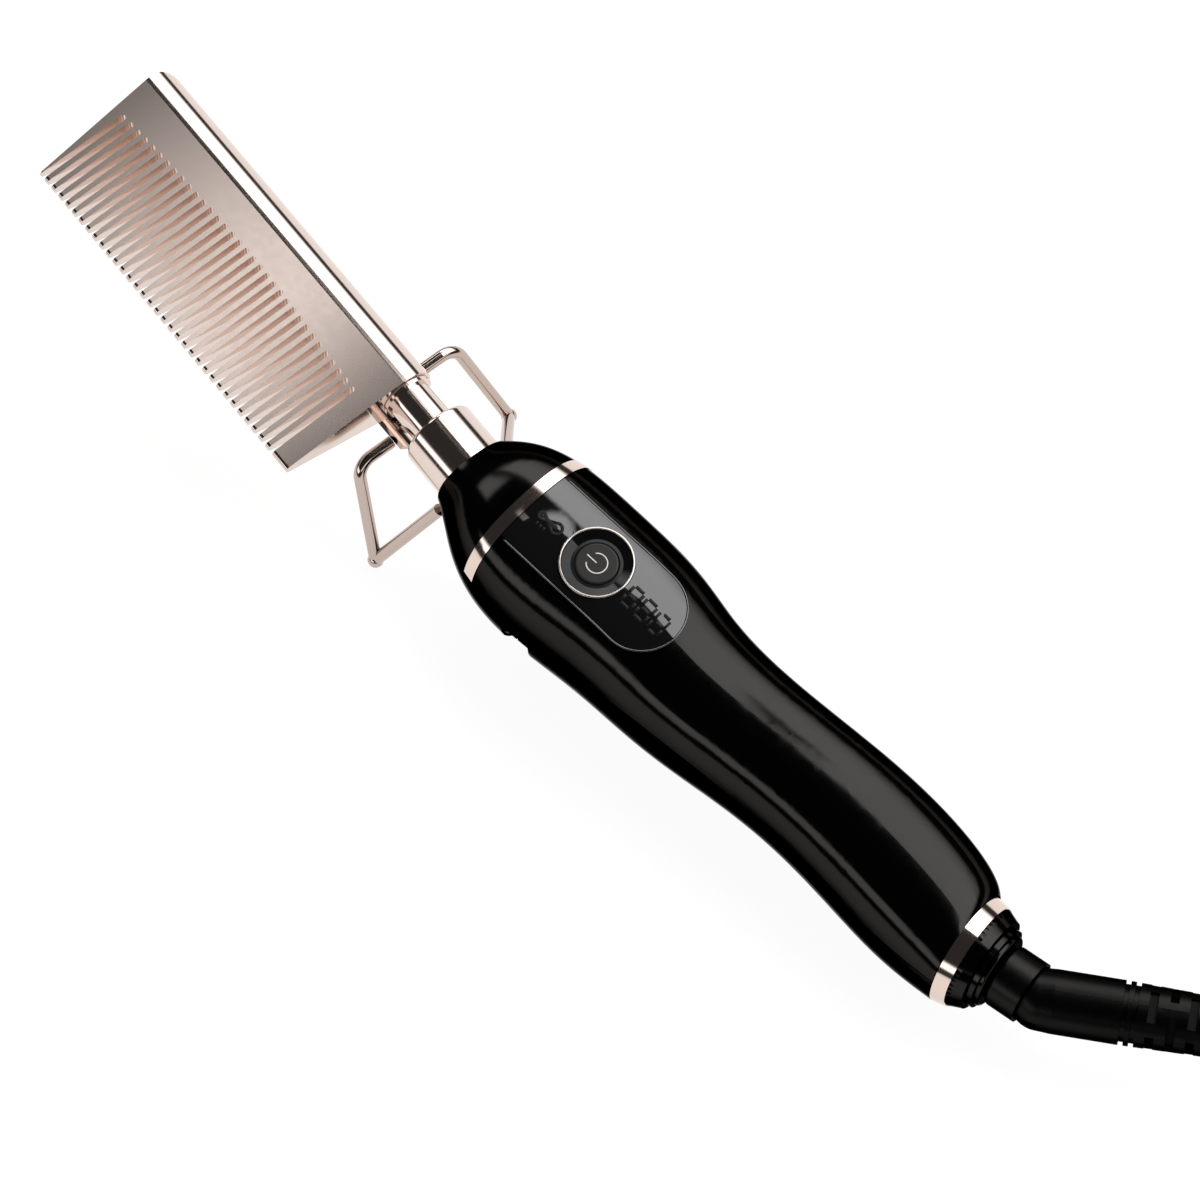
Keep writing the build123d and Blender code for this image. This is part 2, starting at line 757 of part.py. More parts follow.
with BuildPart() as swivel_collar:
    with BuildSketch(across(-collar_start)):
        Circle(collar_radius)
    extrude(amount=collar_start - collar_end)
    fillet(swivel_collar.faces().sort_by(Axis.X)[-1].edges(), collar_round)
    with BuildSketch(across(-flange_start)):
        Circle(bore_radius - swivel_clearance)
    extrude(amount=flange_start - collar_start - collar_round)
    with BuildSketch(across(-flange_start)):
        Circle(collar_flange_radius)
    extrude(amount=-collar_flange_width)
    with Locations((-pivot_place, 0, 0)):
        Sphere(ball_radius + ball_gap, rotation=(0, 90, 0), mode=Mode.SUBTRACT)
    with BuildSketch(flat_at(-tongue_half_height)):
        with BuildLine():
            Line((-pivot_place, -tongue_radius), (-collar_start - collar_round, -tongue_radius))
            Line((-collar_start - collar_round, -tongue_radius), (-collar_start - collar_round, tongue_radius))
            Line((-collar_start - collar_round, tongue_radius), (-pivot_place, tongue_radius))
            CenterArc((-pivot_place, 0), tongue_radius, 90, 180)
        make_face()
    extrude(amount=2 * tongue_half_height)
    with BuildSketch(flat_at(-tongue_half_height)):
        with Locations((-pivot_place, 0)):
            Circle(hinge_radius + hinge_clearance)
    extrude(amount=2 * tongue_half_height, mode=Mode.SUBTRACT)
    with BuildSketch(across(-flange_start)):
        Circle(contact_radius + part_gap)
    extrude(amount=flange_start - contact_reach - part_gap, mode=Mode.SUBTRACT)

# --- boot (drawn with the hinge at zero) -------------------------------------------------------
boot_groove_places = [boot_groove_place, boot_groove_place + 2 * boot_groove_width]

with BuildPart() as strain_relief_boot:
    with BuildSketch(Plane.XZ):
        with BuildLine():
            ThreePointArc((ball_radius, 0), (ball_radius * cos(pi / 4), ball_radius * sin(pi / 4)), (0, ball_radius))
            Line((0, ball_radius), (-boot_gap_length, boot_radius))
            Line((-boot_gap_length, boot_radius), (-boot_groove_place, boot_radius))
            Line((-boot_groove_place, boot_radius), (-boot_length, boot_end_radius))
            Line((-boot_length, boot_end_radius), (-boot_length, 0))
            Line((-boot_length, 0), (ball_radius, 0))
        make_face()
    revolve(axis=Axis.X)
    fillet(strain_relief_boot.faces().sort_by(Axis.X)[0].edges(), boot_end_round)
    for place in boot_groove_places:
        with BuildSketch(across(-place)):
            Circle(boot_radius + seat_gap)
            Circle(boot_radius - boot_groove_depth, mode=Mode.SUBTRACT)
        extrude(amount=-boot_groove_width, mode=Mode.SUBTRACT)
    for number in range(boot_slot_rings):
        turn = 45 * (number % 2)
        with BuildSketch(across(-boot_slot_start - number * boot_slot_pitch)):
            with PolarLocations(boot_radius, 4, start_angle=turn):
                Rectangle(2 * boot_slot_depth, boot_slot_length)
        extrude(amount=-boot_slot_width, mode=Mode.SUBTRACT)
    with BuildSketch(flat_at(-tongue_half_height - tongue_gap)):
        with Locations((ball_radius / 2, 0)):
            Rectangle(ball_radius, 2 * ball_radius)
        Circle(tongue_radius + tongue_swing)
    extrude(amount=2 * (tongue_half_height + tongue_gap), mode=Mode.SUBTRACT)
    with BuildSketch(flat_at(-hinge_half_length)):
        Circle(hinge_radius)
    extrude(amount=2 * hinge_half_length, mode=Mode.SUBTRACT)

with BuildPart() as hinge_pin:
    with BuildSketch(flat_at(-hinge_half_length)):
        Circle(hinge_radius)
    extrude(amount=2 * hinge_half_length)

# --- stand (drawn with the head) ---------------------------------------------------------------
bracket_inner = sleeve_radius + bracket_gap
bracket_outer = bracket_inner + bracket_thickness
ear_end = comb_start + ear_length
tab_start = bracket_gap + lip_thickness
tab_root_half_width = bracket_inner * sin(radians(bracket_half_angle))


def lower_sector(radius, half_angle):
    """Wedge below the neck axis, out to a radius."""
    left = (radius * cos(radians(-90 - half_angle)), radius * sin(radians(-90 - half_angle)))
    right = (radius * cos(radians(-90 + half_angle)), radius * sin(radians(-90 + half_angle)))
    with BuildSketch() as sector:
        with BuildLine():
            Line((0, 0), left)
            CenterArc((0, 0), radius, -90 - half_angle, 2 * half_angle)
            Line(right, (0, 0))
        make_face()
    return sector.sketch


def loop_front(side):
    """Where the front leg of the loop on one side leaves the bracket."""
    return loop_front_place - side * loop_stagger


def bracket_half(side):
    """One half of the bracket seen from below: ear, waist under the bare tube, cradle and tab."""
    ear_start = loop_front(side) - ear_margin
    with BuildSketch() as half:
        with BuildLine():
            Polyline(
                (ear_end, 0),
                (ear_end, side * bracket_outer),
                (ear_start, side * bracket_outer),
                (ear_start - waist_round / 2, side * waist_half_width),
                (sleeve_length + waist_round / 2, side * waist_half_width),
                (sleeve_length, side * bracket_outer),
                (tab_start, side * bracket_outer),
                (tab_start, side * tab_root_half_width),
            )
            Spline(
                (tab_start, side * tab_root_half_width),
                (-tab_length / 2, side * tab_half_width),
                (-tab_length, 0),
                tangents=[(-1, 0), (0, -side)],
            )
            Line((-tab_length, 0), (ear_end, 0))
        make_face()
    return half.sketch


def bracket_outline():
    """The whole bracket seen from below: both halves, each with the ear that its wire needs."""
    with BuildSketch() as outline:
        add(bracket_half(1))
        add(bracket_half(-1))
    return outline.sketch


tab_inner_gap = part_gap
lip_inner = mouth_radius + tab_inner_gap + seat_gap
lip_outer = lip_inner + bracket_thickness - 2 * seat_gap

with BuildPart() as bell_skin:
    add(handle_form(tab_inner_gap + bracket_thickness))
    add(handle_form(tab_inner_gap), mode=Mode.SUBTRACT)
    add(side_slab(-tab_length, tab_length + bracket_thickness, -very_wide, 0), mode=Mode.INTERSECT)

with BuildPart() as bell_tab:
    add(handle_frame * bell_skin.part)
    with BuildSketch(flat_at(-very_wide)):
        add(bracket_outline())
    extrude(amount=very_wide, mode=Mode.INTERSECT)

with BuildPart() as stand_bracket:
    with BuildSketch(across(0)):
        Circle(bracket_outer)
        Circle(bracket_inner, mode=Mode.SUBTRACT)
    extrude(amount=ear_end)
    with BuildSketch(Plane.XZ):
        with BuildLine():
            Polyline(
                (bracket_gap, bracket_inner),
                (tab_start, bracket_inner),
                (tab_start, lip_outer),
                (-tab_inner_gap, lip_outer),
                (-tab_inner_gap, lip_inner),
                (bracket_gap, lip_inner),
                close=True,
            )
        make_face()
    revolve(axis=Axis.X)
    with BuildSketch(across(tab_start)):
        add(lower_sector(very_wide, bracket_half_angle))
    extrude(amount=very_wide, both=True, mode=Mode.INTERSECT)
    with BuildSketch(flat_at(-very_wide)):
        add(bracket_outline())
    extrude(amount=2 * very_wide, mode=Mode.INTERSECT)
    add(bell_tab.part)
    with BuildSketch(flat_at(-very_wide)):
        with Locations(*bracket_screw_places):
            Circle(bracket_screw_radius + seat_gap)
    extrude(amount=very_wide, mode=Mode.SUBTRACT)

with BuildPart() as bracket_screws:
    with BuildSketch(flat_at(-bracket_outer)):
        with Locations(*bracket_screw_places):
            Circle(bracket_screw_radius)
    extrude(amount=bracket_thickness + bracket_gap + bracket_screw_grip - seat_gap)
    with BuildSketch(flat_at(-bracket_outer)):
        with Locations(*bracket_screw_places):
            Circle(bracket_screw_head)
    extrude(amount=-bracket_screw_radius)


# The comb rests on its two feet and on the underside of the handle's swell.
swell_bottom = handle_frame * Location((-swell.place, swell.side, swell.middle - swell.half_height))
feet_bottom = Vector(foot_place, 0, -foot_depth - foot_ball_radius)
rest_slope = degrees(atan2(swell_bottom.position.Z - feet_bottom.Z, feet_bottom.X - swell_bottom.position.X))


def wire_loop(side):
    """One fixed wire foot: a front leg, a sharp ball-like foot and a rear leg."""
    root = (loop_front(side), side * loop_front_side, -loop_front_depth)
    elbow = (loop_front(side), side * loop_elbow_side, -loop_front_depth)
    foot_drop = foot_depth - side * loop_stagger * tan(radians(rest_slope))
    foot = (foot_place - side * loop_stagger, side * foot_spread, -foot_drop)
    rear = (loop_rear_place, side * loop_rear_side, -loop_rear_depth)
    with BuildPart() as loop:
        with BuildLine() as front_leg:
            FilletPolyline(root, elbow, foot, radius=loop_elbow_radius)
        with BuildSketch(Plane(origin=front_leg.line @ 0, z_dir=front_leg.line % 0)):
            Circle(wire_radius)
        sweep(path=front_leg.line)
        with BuildLine() as rear_leg:
            Line(foot, rear)
        with BuildSketch(Plane(origin=rear_leg.line @ 0, z_dir=rear_leg.line % 0)):
            Circle(wire_radius)
        sweep(path=rear_leg.line)
        with Locations(foot):
            Sphere(foot_ball_radius)
    return loop.part


with BuildPart() as stand_wire_left:
    add(wire_loop(1))
with BuildPart() as stand_wire_right:
    add(wire_loop(-1))

# --- frames: where the handle, the tail and the boot stand --------------------------------------
tail_turn = Location((0, 0, 0), (0, tail_pitch, 0))
tail_frame = handle_frame * Location((-handle_length, tail_side, -tail_drop), (0, 0, tail_yaw)) * tail_turn
boot_frame = tail_frame * Location((-pivot_place, 0, 0), (0, 0, boot_yaw))
rest_turn = Location((0, 0, 0), (0, -rest_slope, 0))

head_pieces = {
    "comb_plate": comb_plate,
    "heater_element": heater_element,
    "temperature_sensor": temperature_sensor,
    "neck_tube": neck_tube,
    "insulating_bush": insulating_bush,
    "neck_sleeve": neck_sleeve,
    "heater_leads": heater_leads,
    "terminal_block": terminal_block,
    "stand_bracket": stand_bracket,
    "bracket_screws": bracket_screws,
    "stand_wire_left": stand_wire_left,
    "stand_wire_right": stand_wire_right,
}
handle_pieces = {
    "front_cap": front_cap,
    "front_ring": front_ring,
    "lower_shell": lower_shell,
    "top_cover": top_cover,
    "control_window": control_window,
    "button_trim_ring": button_trim_ring,
    "button_bezel": button_bezel,
    "power_button": power_button,
    "circuit_board": circuit_board,
    "tact_switch": tact_switch,
    "display_module": display_module,
    "board_screws": board_screws,
}
tail_pieces = {
    "tail_ring": tail_ring,
    "ribbed_ring": ribbed_ring,
    "tail_cap": tail_cap,
    "contact_carrier": contact_carrier,
    "contact_rod": contact_rod,
    "swivel_collar": swivel_collar,
}
boot_pieces = {
    "strain_relief_boot": strain_relief_boot,
    "hinge_pin": hinge_pin,
}

placed = {}
for frame, pieces in (
    (Location(), head_pieces),
    (handle_frame, handle_pieces),
    (tail_frame, tail_pieces),
    (boot_frame, boot_pieces),
):
    for name, piece in pieces.items():
        placed[name] = rest_turn * frame * piece.part

body_box = Compound(list(placed.values())).bounding_box()
to_origin = Location((-body_box.center().X, -body_box.center().Y, -body_box.min.Z))


# --- cord and plug (drawn in the finished part's own frame) ------------------------------------
boot_exit = to_origin * rest_turn * boot_frame * Location((-boot_length, 0, 0))
boot_lead = to_origin * rest_turn * boot_frame * Location((-boot_length - cord_lead, 0, 0))


def arc_radii(points):
    """Radius of the arc at each corner of a route, from its shorter run and its turn."""
    corners = []
    for before, corner, after in zip(points, points[1:], points[2:]):
        turn = (corner - before).get_angle(after - corner)
        shorter = min((corner - before).length, (after - corner).length)
        corners.append(arc_share * shorter / tan(radians(turn / 2)))
    return corners


def cord_along(points):
    """Round cord of straight runs joined by tangent arcs."""
    radii = arc_radii(points)
    print("arc radii:", [round(radius, 1) for radius in radii])
    with BuildPart() as cord:
        with BuildLine() as route:
            FilletPolyline(*points, radius=radii)
        with BuildSketch(Plane(origin=route.line @ 0, z_dir=route.line % 0)):
            Circle(cord_radius)
        sweep(path=route.line)
    length = sum(edge.length for edge in route.edges())
    print("cord run:", round(length, 1), "volume share:", round(cord.part.volume / (length * pi * cord_radius**2), 4))
    return cord.part


cord_route = [
    boot_exit.position,
    boot_lead.position,
    Vector(-212.0, -63.0, 6.0),
    Vector(-236.0, -56.5, 4.2),
]
plug_route = [
    Vector(-228.4, 15.7, 9.0),
    Vector(-252.9, 36.3, plug_height / 2),
    Vector(-279.0, 36.3, plug_height / 2),
]
coil_width = coil_columns * cord_width
coil_height = coil_layers * cord_width
coil_axis = Axis((coil_place[0], coil_place[1], 0), (0, 0, 1))

with BuildPart() as cord_run:
    add(cord_along(cord_route))

with BuildPart() as cord_plug_run:
    add(cord_along(plug_route))


def coil_section(grow):
    """Rounded section of the bundle of turns, drawn on the coil's far side."""
    middle = (coil_place[0] - coil_mean_radius, coil_place[1], coil_lift + coil_height / 2)
    with BuildSketch(Plane(origin=middle, x_dir=(1, 0, 0), z_dir=(0, -1, 0))) as section:
        RectangleRounded(coil_width + 2 * grow, coil_height + 2 * grow, cord_radius + grow)
    return section.sketch


with BuildPart() as cord_coil:
    add(revolve(coil_section(0), axis=coil_axis, mode=Mode.PRIVATE))

with BuildPart() as cord_tie:
    add(revolve(coil_section(tie_gap + tie_thickness), axis=coil_axis, revolution_arc=tie_arc, mode=Mode.PRIVATE))
    add(
        revolve(coil_section(tie_gap), axis=coil_axis, revolution_arc=tie_arc, mode=Mode.PRIVATE),
        mode=Mode.SUBTRACT,
    )

plug_end = plug_route[-1]
body_start = plug_end.X - plug_tail_length
body_end = body_start - plug_length
pin_places = [(plug_end.Y + side * pin_spacing / 2, plug_end.Z) for side in (-1, 1)]

with BuildPart() as plug_body:
    with BuildSketch(across(body_end)):
        with Locations((plug_end.Y, plug_end.Z)):
            RectangleRounded(plug_width, plug_height, plug_corner)
    with BuildSketch(across(body_start - plug_shoulder)):
        with Locations((plug_end.Y, plug_end.Z)):
            RectangleRounded(plug_width, plug_height, plug_corner)
    loft()
    with BuildSketch(across(body_start - plug_shoulder)):
        with Locations((plug_end.Y, plug_end.Z)):
            RectangleRounded(plug_width, plug_height, plug_corner)
    with BuildSketch(across(body_start)):
        with Locations((plug_end.Y, plug_end.Z)):
            RectangleRounded(3 * plug_tail_radius, 2 * plug_tail_radius, plug_corner)
    loft()
    with BuildSketch(across(body_start)):
        with Locations((plug_end.Y, plug_end.Z)):
            Circle(plug_tail_radius)
    with BuildSketch(across(plug_end.X)):
        with Locations((plug_end.Y, plug_end.Z)):
            Circle(cord_radius + tie_thickness / 2)
    loft()
    with BuildSketch(across(body_end)):
        with Locations(*pin_places):
            Circle(pin_shank_radius)
    extrude(amount=pin_seat, mode=Mode.SUBTRACT)

with BuildPart() as plug_pins:
    with BuildSketch(across(body_end + pin_seat)):
        with Locations(*pin_places):
            Circle(pin_shank_radius)
    extrude(amount=-pin_seat)
    with BuildSketch(across(body_end)):
        with Locations(*pin_places):
            Circle(pin_radius)
    extrude(amount=-pin_length)
    fillet(plug_pins.faces().group_by(Axis.X)[0].edges(), pin_radius / 2)

for name, piece in placed.items():
    placed[name] = to_origin * piece
for name, piece in (
    ("cord_run", cord_run),
    ("cord_coil", cord_coil),
    ("cord_tie", cord_tie),
    ("cord_plug_run", cord_plug_run),
    ("plug_body", plug_body),
    ("plug_pins", plug_pins),
):
    placed[name] = piece.part

os.makedirs("parts", exist_ok=True)
for name, piece in placed.items():
    piece.label = name
    export_step(piece, f"parts/{name}.step")
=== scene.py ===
"""Electric hot comb: finishes, panel marks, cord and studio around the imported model."""

from __future__ import annotations

import logging
import math
from dataclasses import dataclass
from enum import Enum
from typing import Union

import bpy
import numpy as np
from mathutils import Matrix, Vector

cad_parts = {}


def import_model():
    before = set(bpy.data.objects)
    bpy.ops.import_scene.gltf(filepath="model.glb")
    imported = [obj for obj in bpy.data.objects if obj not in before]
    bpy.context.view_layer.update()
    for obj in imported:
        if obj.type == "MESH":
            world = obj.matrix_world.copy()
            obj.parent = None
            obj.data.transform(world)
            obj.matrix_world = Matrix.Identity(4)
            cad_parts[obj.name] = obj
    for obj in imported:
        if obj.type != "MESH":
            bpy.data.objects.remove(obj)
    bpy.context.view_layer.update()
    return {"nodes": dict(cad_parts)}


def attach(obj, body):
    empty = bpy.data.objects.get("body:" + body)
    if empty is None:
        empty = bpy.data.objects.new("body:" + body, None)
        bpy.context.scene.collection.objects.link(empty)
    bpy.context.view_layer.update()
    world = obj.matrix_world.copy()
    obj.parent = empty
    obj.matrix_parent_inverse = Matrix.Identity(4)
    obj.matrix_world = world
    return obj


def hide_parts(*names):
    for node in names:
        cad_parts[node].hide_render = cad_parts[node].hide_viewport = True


LOG = logging.getLogger("hot_comb")

Point = tuple[float, float, float]
Colour = tuple[float, float, float]
Pair = tuple[float, float]
Term = Union[bpy.types.NodeSocket, float]

NOISE_RANGE: Pair = (0.3, 0.7)  # most of a noise's values lie between these
BLOTCH_CELLS = 60.0  # broad, faint changes of colour, per metre
BLOTCH_OCTAVES = 2.0
GRAIN_OCTAVES = 3.0
BUMP_SHARE = 0.6

BEAD_CORNERS = 10
ARC_POINTS = 41
RING_POINTS = 49
STRAIGHT_POINTS = 24


class Body(Enum):
    """Rigid bodies of the hot comb."""

    HANDLE = "handle"
    BUTTON = "button"
    BOOT = "boot"


# --- finishes ----------------------------------------------------------------------------------
class Nodes:
    """A small helper that lays out one material's nodes."""

    def __init__(self, name: str) -> None:
        """Makes a material with a shader, its output and object coordinates.

        Args:
            name: The material's name.
        """
        self.material = bpy.data.materials.new(name)
        self.material.use_nodes = True
        self.tree = self.material.node_tree
        self.tree.nodes.clear()
        self.shader = self.tree.nodes.new("ShaderNodeBsdfPrincipled")
        output = self.tree.nodes.new("ShaderNodeOutputMaterial")
        self.link(self.shader, "BSDF", output, "Surface")
        self.place = self.tree.nodes.new("ShaderNodeTexCoord")

    def link(self, source: bpy.types.Node, out: str, target: bpy.types.Node, into: str) -> None:
        """Joins one socket to another by their names."""
        self.tree.links.new(source.outputs[out], target.inputs[into])

    def noise(self, scale: float, detail: float) -> bpy.types.Node:
        """Adds noise on object coordinates.

        Args:
            scale: Cells per metre.
            detail: Octaves of the noise.

        Returns:
            The noise node.
        """
        noise = self.tree.nodes.new("ShaderNodeTexNoise")
        noise.inputs["Scale"].default_value = scale
        noise.inputs["Detail"].default_value = detail
        self.link(self.place, "Object", noise, "Vector")
        return noise

    def spread(self, noise: bpy.types.Node, low: float, high: float) -> bpy.types.Node:
        """Maps noise to a range of numbers.

        Args:
            noise: The noise node.
            low: Value where the noise is lowest.
            high: Value where it is highest.

        Returns:
            The node whose Result holds the numbers.
        """
        ranged = self.tree.nodes.new("ShaderNodeMapRange")
        ranged.inputs["From Min"].default_value = NOISE_RANGE[0]
        ranged.inputs["From Max"].default_value = NOISE_RANGE[1]
        ranged.inputs["To Min"].default_value = low
        ranged.inputs["To Max"].default_value = high
        self.link(noise, "Fac", ranged, "Value")
        return ranged

    def bump(self, noise: bpy.types.Node, strength: float, height: float) -> None:
        """Raises the surface by the noise.

        Args:
            noise: The noise node.
            strength: Share of the bump that is used.
            height: Height of the bump in metres.
        """
        bump = self.tree.nodes.new("ShaderNodeBump")
        bump.inputs["Strength"].default_value = strength
        bump.inputs["Distance"].default_value = height
        self.link(noise, "Fac", bump, "Height")
        self.link(bump, "Normal", self.shader, "Normal")


@dataclass(frozen=True)
class Finish:
    """A finish with a slightly uneven colour and gloss.

    Attributes:
        name: The material's name.
        colour: Base colour.
        shade: Share by which the colour varies.
        roughness: Lowest and highest roughness.
        metallic: One for metal, and for dark mouldings whose reflections stay dark.
        grain: Cells of the grain per metre.
        relief: Height of the grain in metres.
        specular: Specular level of the shader.
        ior: Index of refraction of the shader.
        edge: Brightness of reflections at a grazing angle.
    """

    name: str
    colour: Colour
    shade: float
    roughness: Pair
    metallic: float = 0.0
    grain: float = 900.0
    relief: float = 0.0
    specular: float = 0.5
    ior: float = 1.5
    edge: float = 1.0

    def material(self) -> bpy.types.Material:
        """Builds the material, unless it is built already.

        Returns:
            The material.
        """
        name = f"{self.name}_finish"
        if name in bpy.data.materials:
            return bpy.data.materials[name]
        nodes = Nodes(name)
        shader = nodes.shader
        shader.inputs["Metallic"].default_value = self.metallic
        shader.inputs["Specular IOR Level"].default_value = self.specular
        shader.inputs["IOR"].default_value = self.ior
        shader.inputs["Specular Tint"].default_value = (self.edge, self.edge, self.edge, 1.0)
        broad = nodes.noise(BLOTCH_CELLS, BLOTCH_OCTAVES)
        fine = nodes.noise(self.grain, GRAIN_OCTAVES)
        mix = nodes.tree.nodes.new("ShaderNodeMix")
        mix.data_type = "RGBA"
        dark, light = 1.0 - self.shade, 1.0 + self.shade
        mix.inputs["A"].default_value = (*[part * dark for part in self.colour], 1.0)
        mix.inputs["B"].default_value = (*[part * light for part in self.colour], 1.0)
        nodes.link(broad, "Fac", mix, "Factor")
        nodes.link(mix, "Result", shader, "Base Color")
        nodes.link(nodes.spread(fine, *self.roughness), "Result", shader, "Roughness")
        if self.relief:
            nodes.bump(fine, BUMP_SHARE, self.relief)
        return nodes.material


PLATED = Finish(
    "rose_gold_plating", (0.74, 0.62, 0.56), shade=0.01, roughness=(0.11, 0.12),
    metallic=1.0, grain=500.0,
)
PLATED_TRIM = Finish(
    "rose_gold_trim", (0.74, 0.60, 0.53), shade=0.01, roughness=(0.08, 0.10),
    metallic=1.0, grain=500.0,
)
PLATED_WIRE = Finish(
    "rose_gold_wire", (0.52, 0.42, 0.37), shade=0.01, roughness=(0.08, 0.10),
    metallic=1.0, grain=500.0,
)
BARE_STEEL = Finish(
    "bare_steel", (0.60, 0.60, 0.62), shade=0.04, roughness=(0.28, 0.40), metallic=1.0
)
BRIGHT_RING = Finish(
    "bright_ring", (0.50, 0.46, 0.43), shade=0.02, roughness=(0.10, 0.12), metallic=1.0, grain=500.0
)
GLOSS_BLACK = Finish(
    "gloss_black", (0.021, 0.0200, 0.0190), shade=0.08, roughness=(0.10, 0.12),
    metallic=1.0, grain=300.0, edge=0.2,
)
WINDOW_BLACK = Finish(
    "window_black", (0.003, 0.003, 0.003), shade=0.15, roughness=(0.03, 0.05), grain=300.0, ior=1.68
)
BEZEL_BLACK = Finish(
    "bezel_black", (0.003, 0.003, 0.003), shade=0.15, roughness=(0.04, 0.06), grain=300.0, ior=1.3
)
BUTTON_BLACK = Finish(
    "button_satin_black", (0.012, 0.011, 0.010), shade=0.08, roughness=(0.34, 0.42),
    grain=2500.0, relief=4e-6, ior=1.35,
)
SATIN_BLACK = Finish(
    "collar_satin_black", (0.016, 0.0155, 0.015), shade=0.10, roughness=(0.28, 0.34),
    metallic=1.0, grain=2500.0, relief=5e-6, edge=0.2,
)
BOOT_RUBBER = Finish(
    "boot_rubber", (0.012, 0.0116, 0.0112), shade=0.12, roughness=(0.30, 0.36),
    metallic=1.0, grain=2500.0, relief=8e-6, edge=0.2,
)
CORD_RUBBER = Finish(
    "cord_rubber", (0.008, 0.008, 0.008), shade=0.12, roughness=(0.40, 0.50),
    grain=1500.0, relief=8e-6, ior=1.35,
)
BOARD_GREEN = Finish(
    "board_green", (0.02, 0.15, 0.06), shade=0.15, roughness=(0.35, 0.45), grain=800.0
)
INSULATOR = Finish("insulator", (0.74, 0.72, 0.67), shade=0.05, roughness=(0.45, 0.55), relief=5e-6)
LEAD_COVER = Finish("lead_cover", (0.68, 0.07, 0.04), shade=0.08, roughness=(0.40, 0.50))
BRASS = Finish(
    "brass_contact", (0.78, 0.58, 0.26), shade=0.06, roughness=(0.20, 0.30), metallic=1.0
)
PIN_METAL = Finish(
    "pin_metal", (0.74, 0.73, 0.71), shade=0.03, roughness=(0.16, 0.24), metallic=1.0
)
MARK_WHITE = Finish("mark_white", (0.62, 0.60, 0.58), shade=0.04, roughness=(0.40, 0.50))
UNLIT_SEGMENT = Finish(
    "unlit_segment", (0.003, 0.003, 0.003), shade=0.10, roughness=(0.30, 0.40), specular=0.2
)
RIM_BLACK = Finish(
    "window_rim_black", (0.010, 0.010, 0.010), shade=0.10, roughness=(0.10, 0.14),
    grain=300.0, ior=2.0,
)

NODE_FINISHES: dict[Finish, tuple[str, ...]] = {
    PLATED: ("comb_plate", "neck_tube", "neck_sleeve"),
    PLATED_TRIM: ("front_ring", "tail_ring"),
    PLATED_WIRE: ("stand_bracket", "stand_wire_left", "stand_wire_right", "bracket_screws"),
    BARE_STEEL: ("heater_element", "temperature_sensor", "board_screws", "hinge_pin"),
    BRIGHT_RING: ("button_trim_ring",),
    GLOSS_BLACK: (
        "front_cap", "top_cover", "lower_shell", "tail_cap", "ribbed_ring", "tact_switch"
    ),
    WINDOW_BLACK: ("control_window", "display_module"),
    BEZEL_BLACK: ("button_bezel",),
    BUTTON_BLACK: ("power_button",),
    SATIN_BLACK: ("swivel_collar",),
    BOOT_RUBBER: ("strain_relief_boot", "plug_body", "cord_tie"),
    BOARD_GREEN: ("circuit_board",),
    INSULATOR: ("insulating_bush", "terminal_block", "contact_carrier"),
    LEAD_COVER: ("heater_leads",),
    BRASS: ("contact_rod",),
    PIN_METAL: ("plug_pins",),
    CORD_RUBBER: ("cord_run", "cord_coil", "cord_plug_run"),
}


def dress_nodes(nodes: dict[str, bpy.types.Object]) -> None:
    """Gives each CAD node its finish.

    Args:
        nodes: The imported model's objects by node name.
    """
    for finish, names in NODE_FINISHES.items():
        for name in names:
            for slot in nodes[name].material_slots:
                slot.material = finish.material()
            LOG.info("%s has the finish %s", name, finish.name)


# --- surfaces ----------------------------------------------------------------------------------
def arc(middle: np.ndarray, radius: float, span: Pair, count: int) -> np.ndarray:
    """Points on a circle: its middle plus the radius times the cosine and sine of even angles.

    Args:
        middle: The circle's middle (x, y).
        radius: Its radius.
        span: First and last angle in degrees.
        count: Number of points.

    Returns:
        The points (x, y), one row each.
    """
    angle = np.radians(np.linspace(span[0], span[1], count))
    return middle + radius * np.column_stack([np.cos(angle), np.sin(angle)])


def tube_mesh(
    name: str, path: np.ndarray, up: np.ndarray, width: float, height: float
) -> bpy.types.Mesh:
    """A bead of rounded section carried along a path.

    Each ring is the middle point plus cos(a) half widths sideways and sin(a) half heights up, where
    sideways is the path's direction crossed with up.

    Args:
        name: The mesh's name.
        path: Points along the middle of the bead, one row each.
        up: The direction of the bead's height at each point.
        width: Width of the bead in metres.
        height: Height of the bead in metres.

    Returns:
        The mesh, with rounded sides and flat closed ends.
    """
    ring, count = BEAD_CORNERS, len(path)
    side = np.cross(np.gradient(path, axis=0), up)
    side /= np.linalg.norm(side, axis=1, keepdims=True)
    angle = np.linspace(0.0, 2.0 * math.pi, ring, endpoint=False)
    points = (
        path[:, None, :]
        + side[:, None, :] * (np.cos(angle)[None, :, None] * width / 2.0)
        + up[:, None, :] * (np.sin(angle)[None, :, None] * height / 2.0)
    ).reshape(-1, 3)
    row, column = np.meshgrid(np.arange(count - 1), np.arange(ring), indexing="ij")
    here, beside = row * ring + column, row * ring + (column + 1) % ring
    quads = np.stack([here, beside, beside + ring, here + ring], axis=-1).reshape(-1, 4)
    faces = quads.tolist()
    faces.append(list(range(ring - 1, -1, -1)))
    faces.append(list(range((count - 1) * ring, count * ring)))
    mesh = bpy.data.meshes.new(name)
    mesh.from_pydata(points.tolist(), [], faces)
    mesh.shade_smooth()
    return mesh


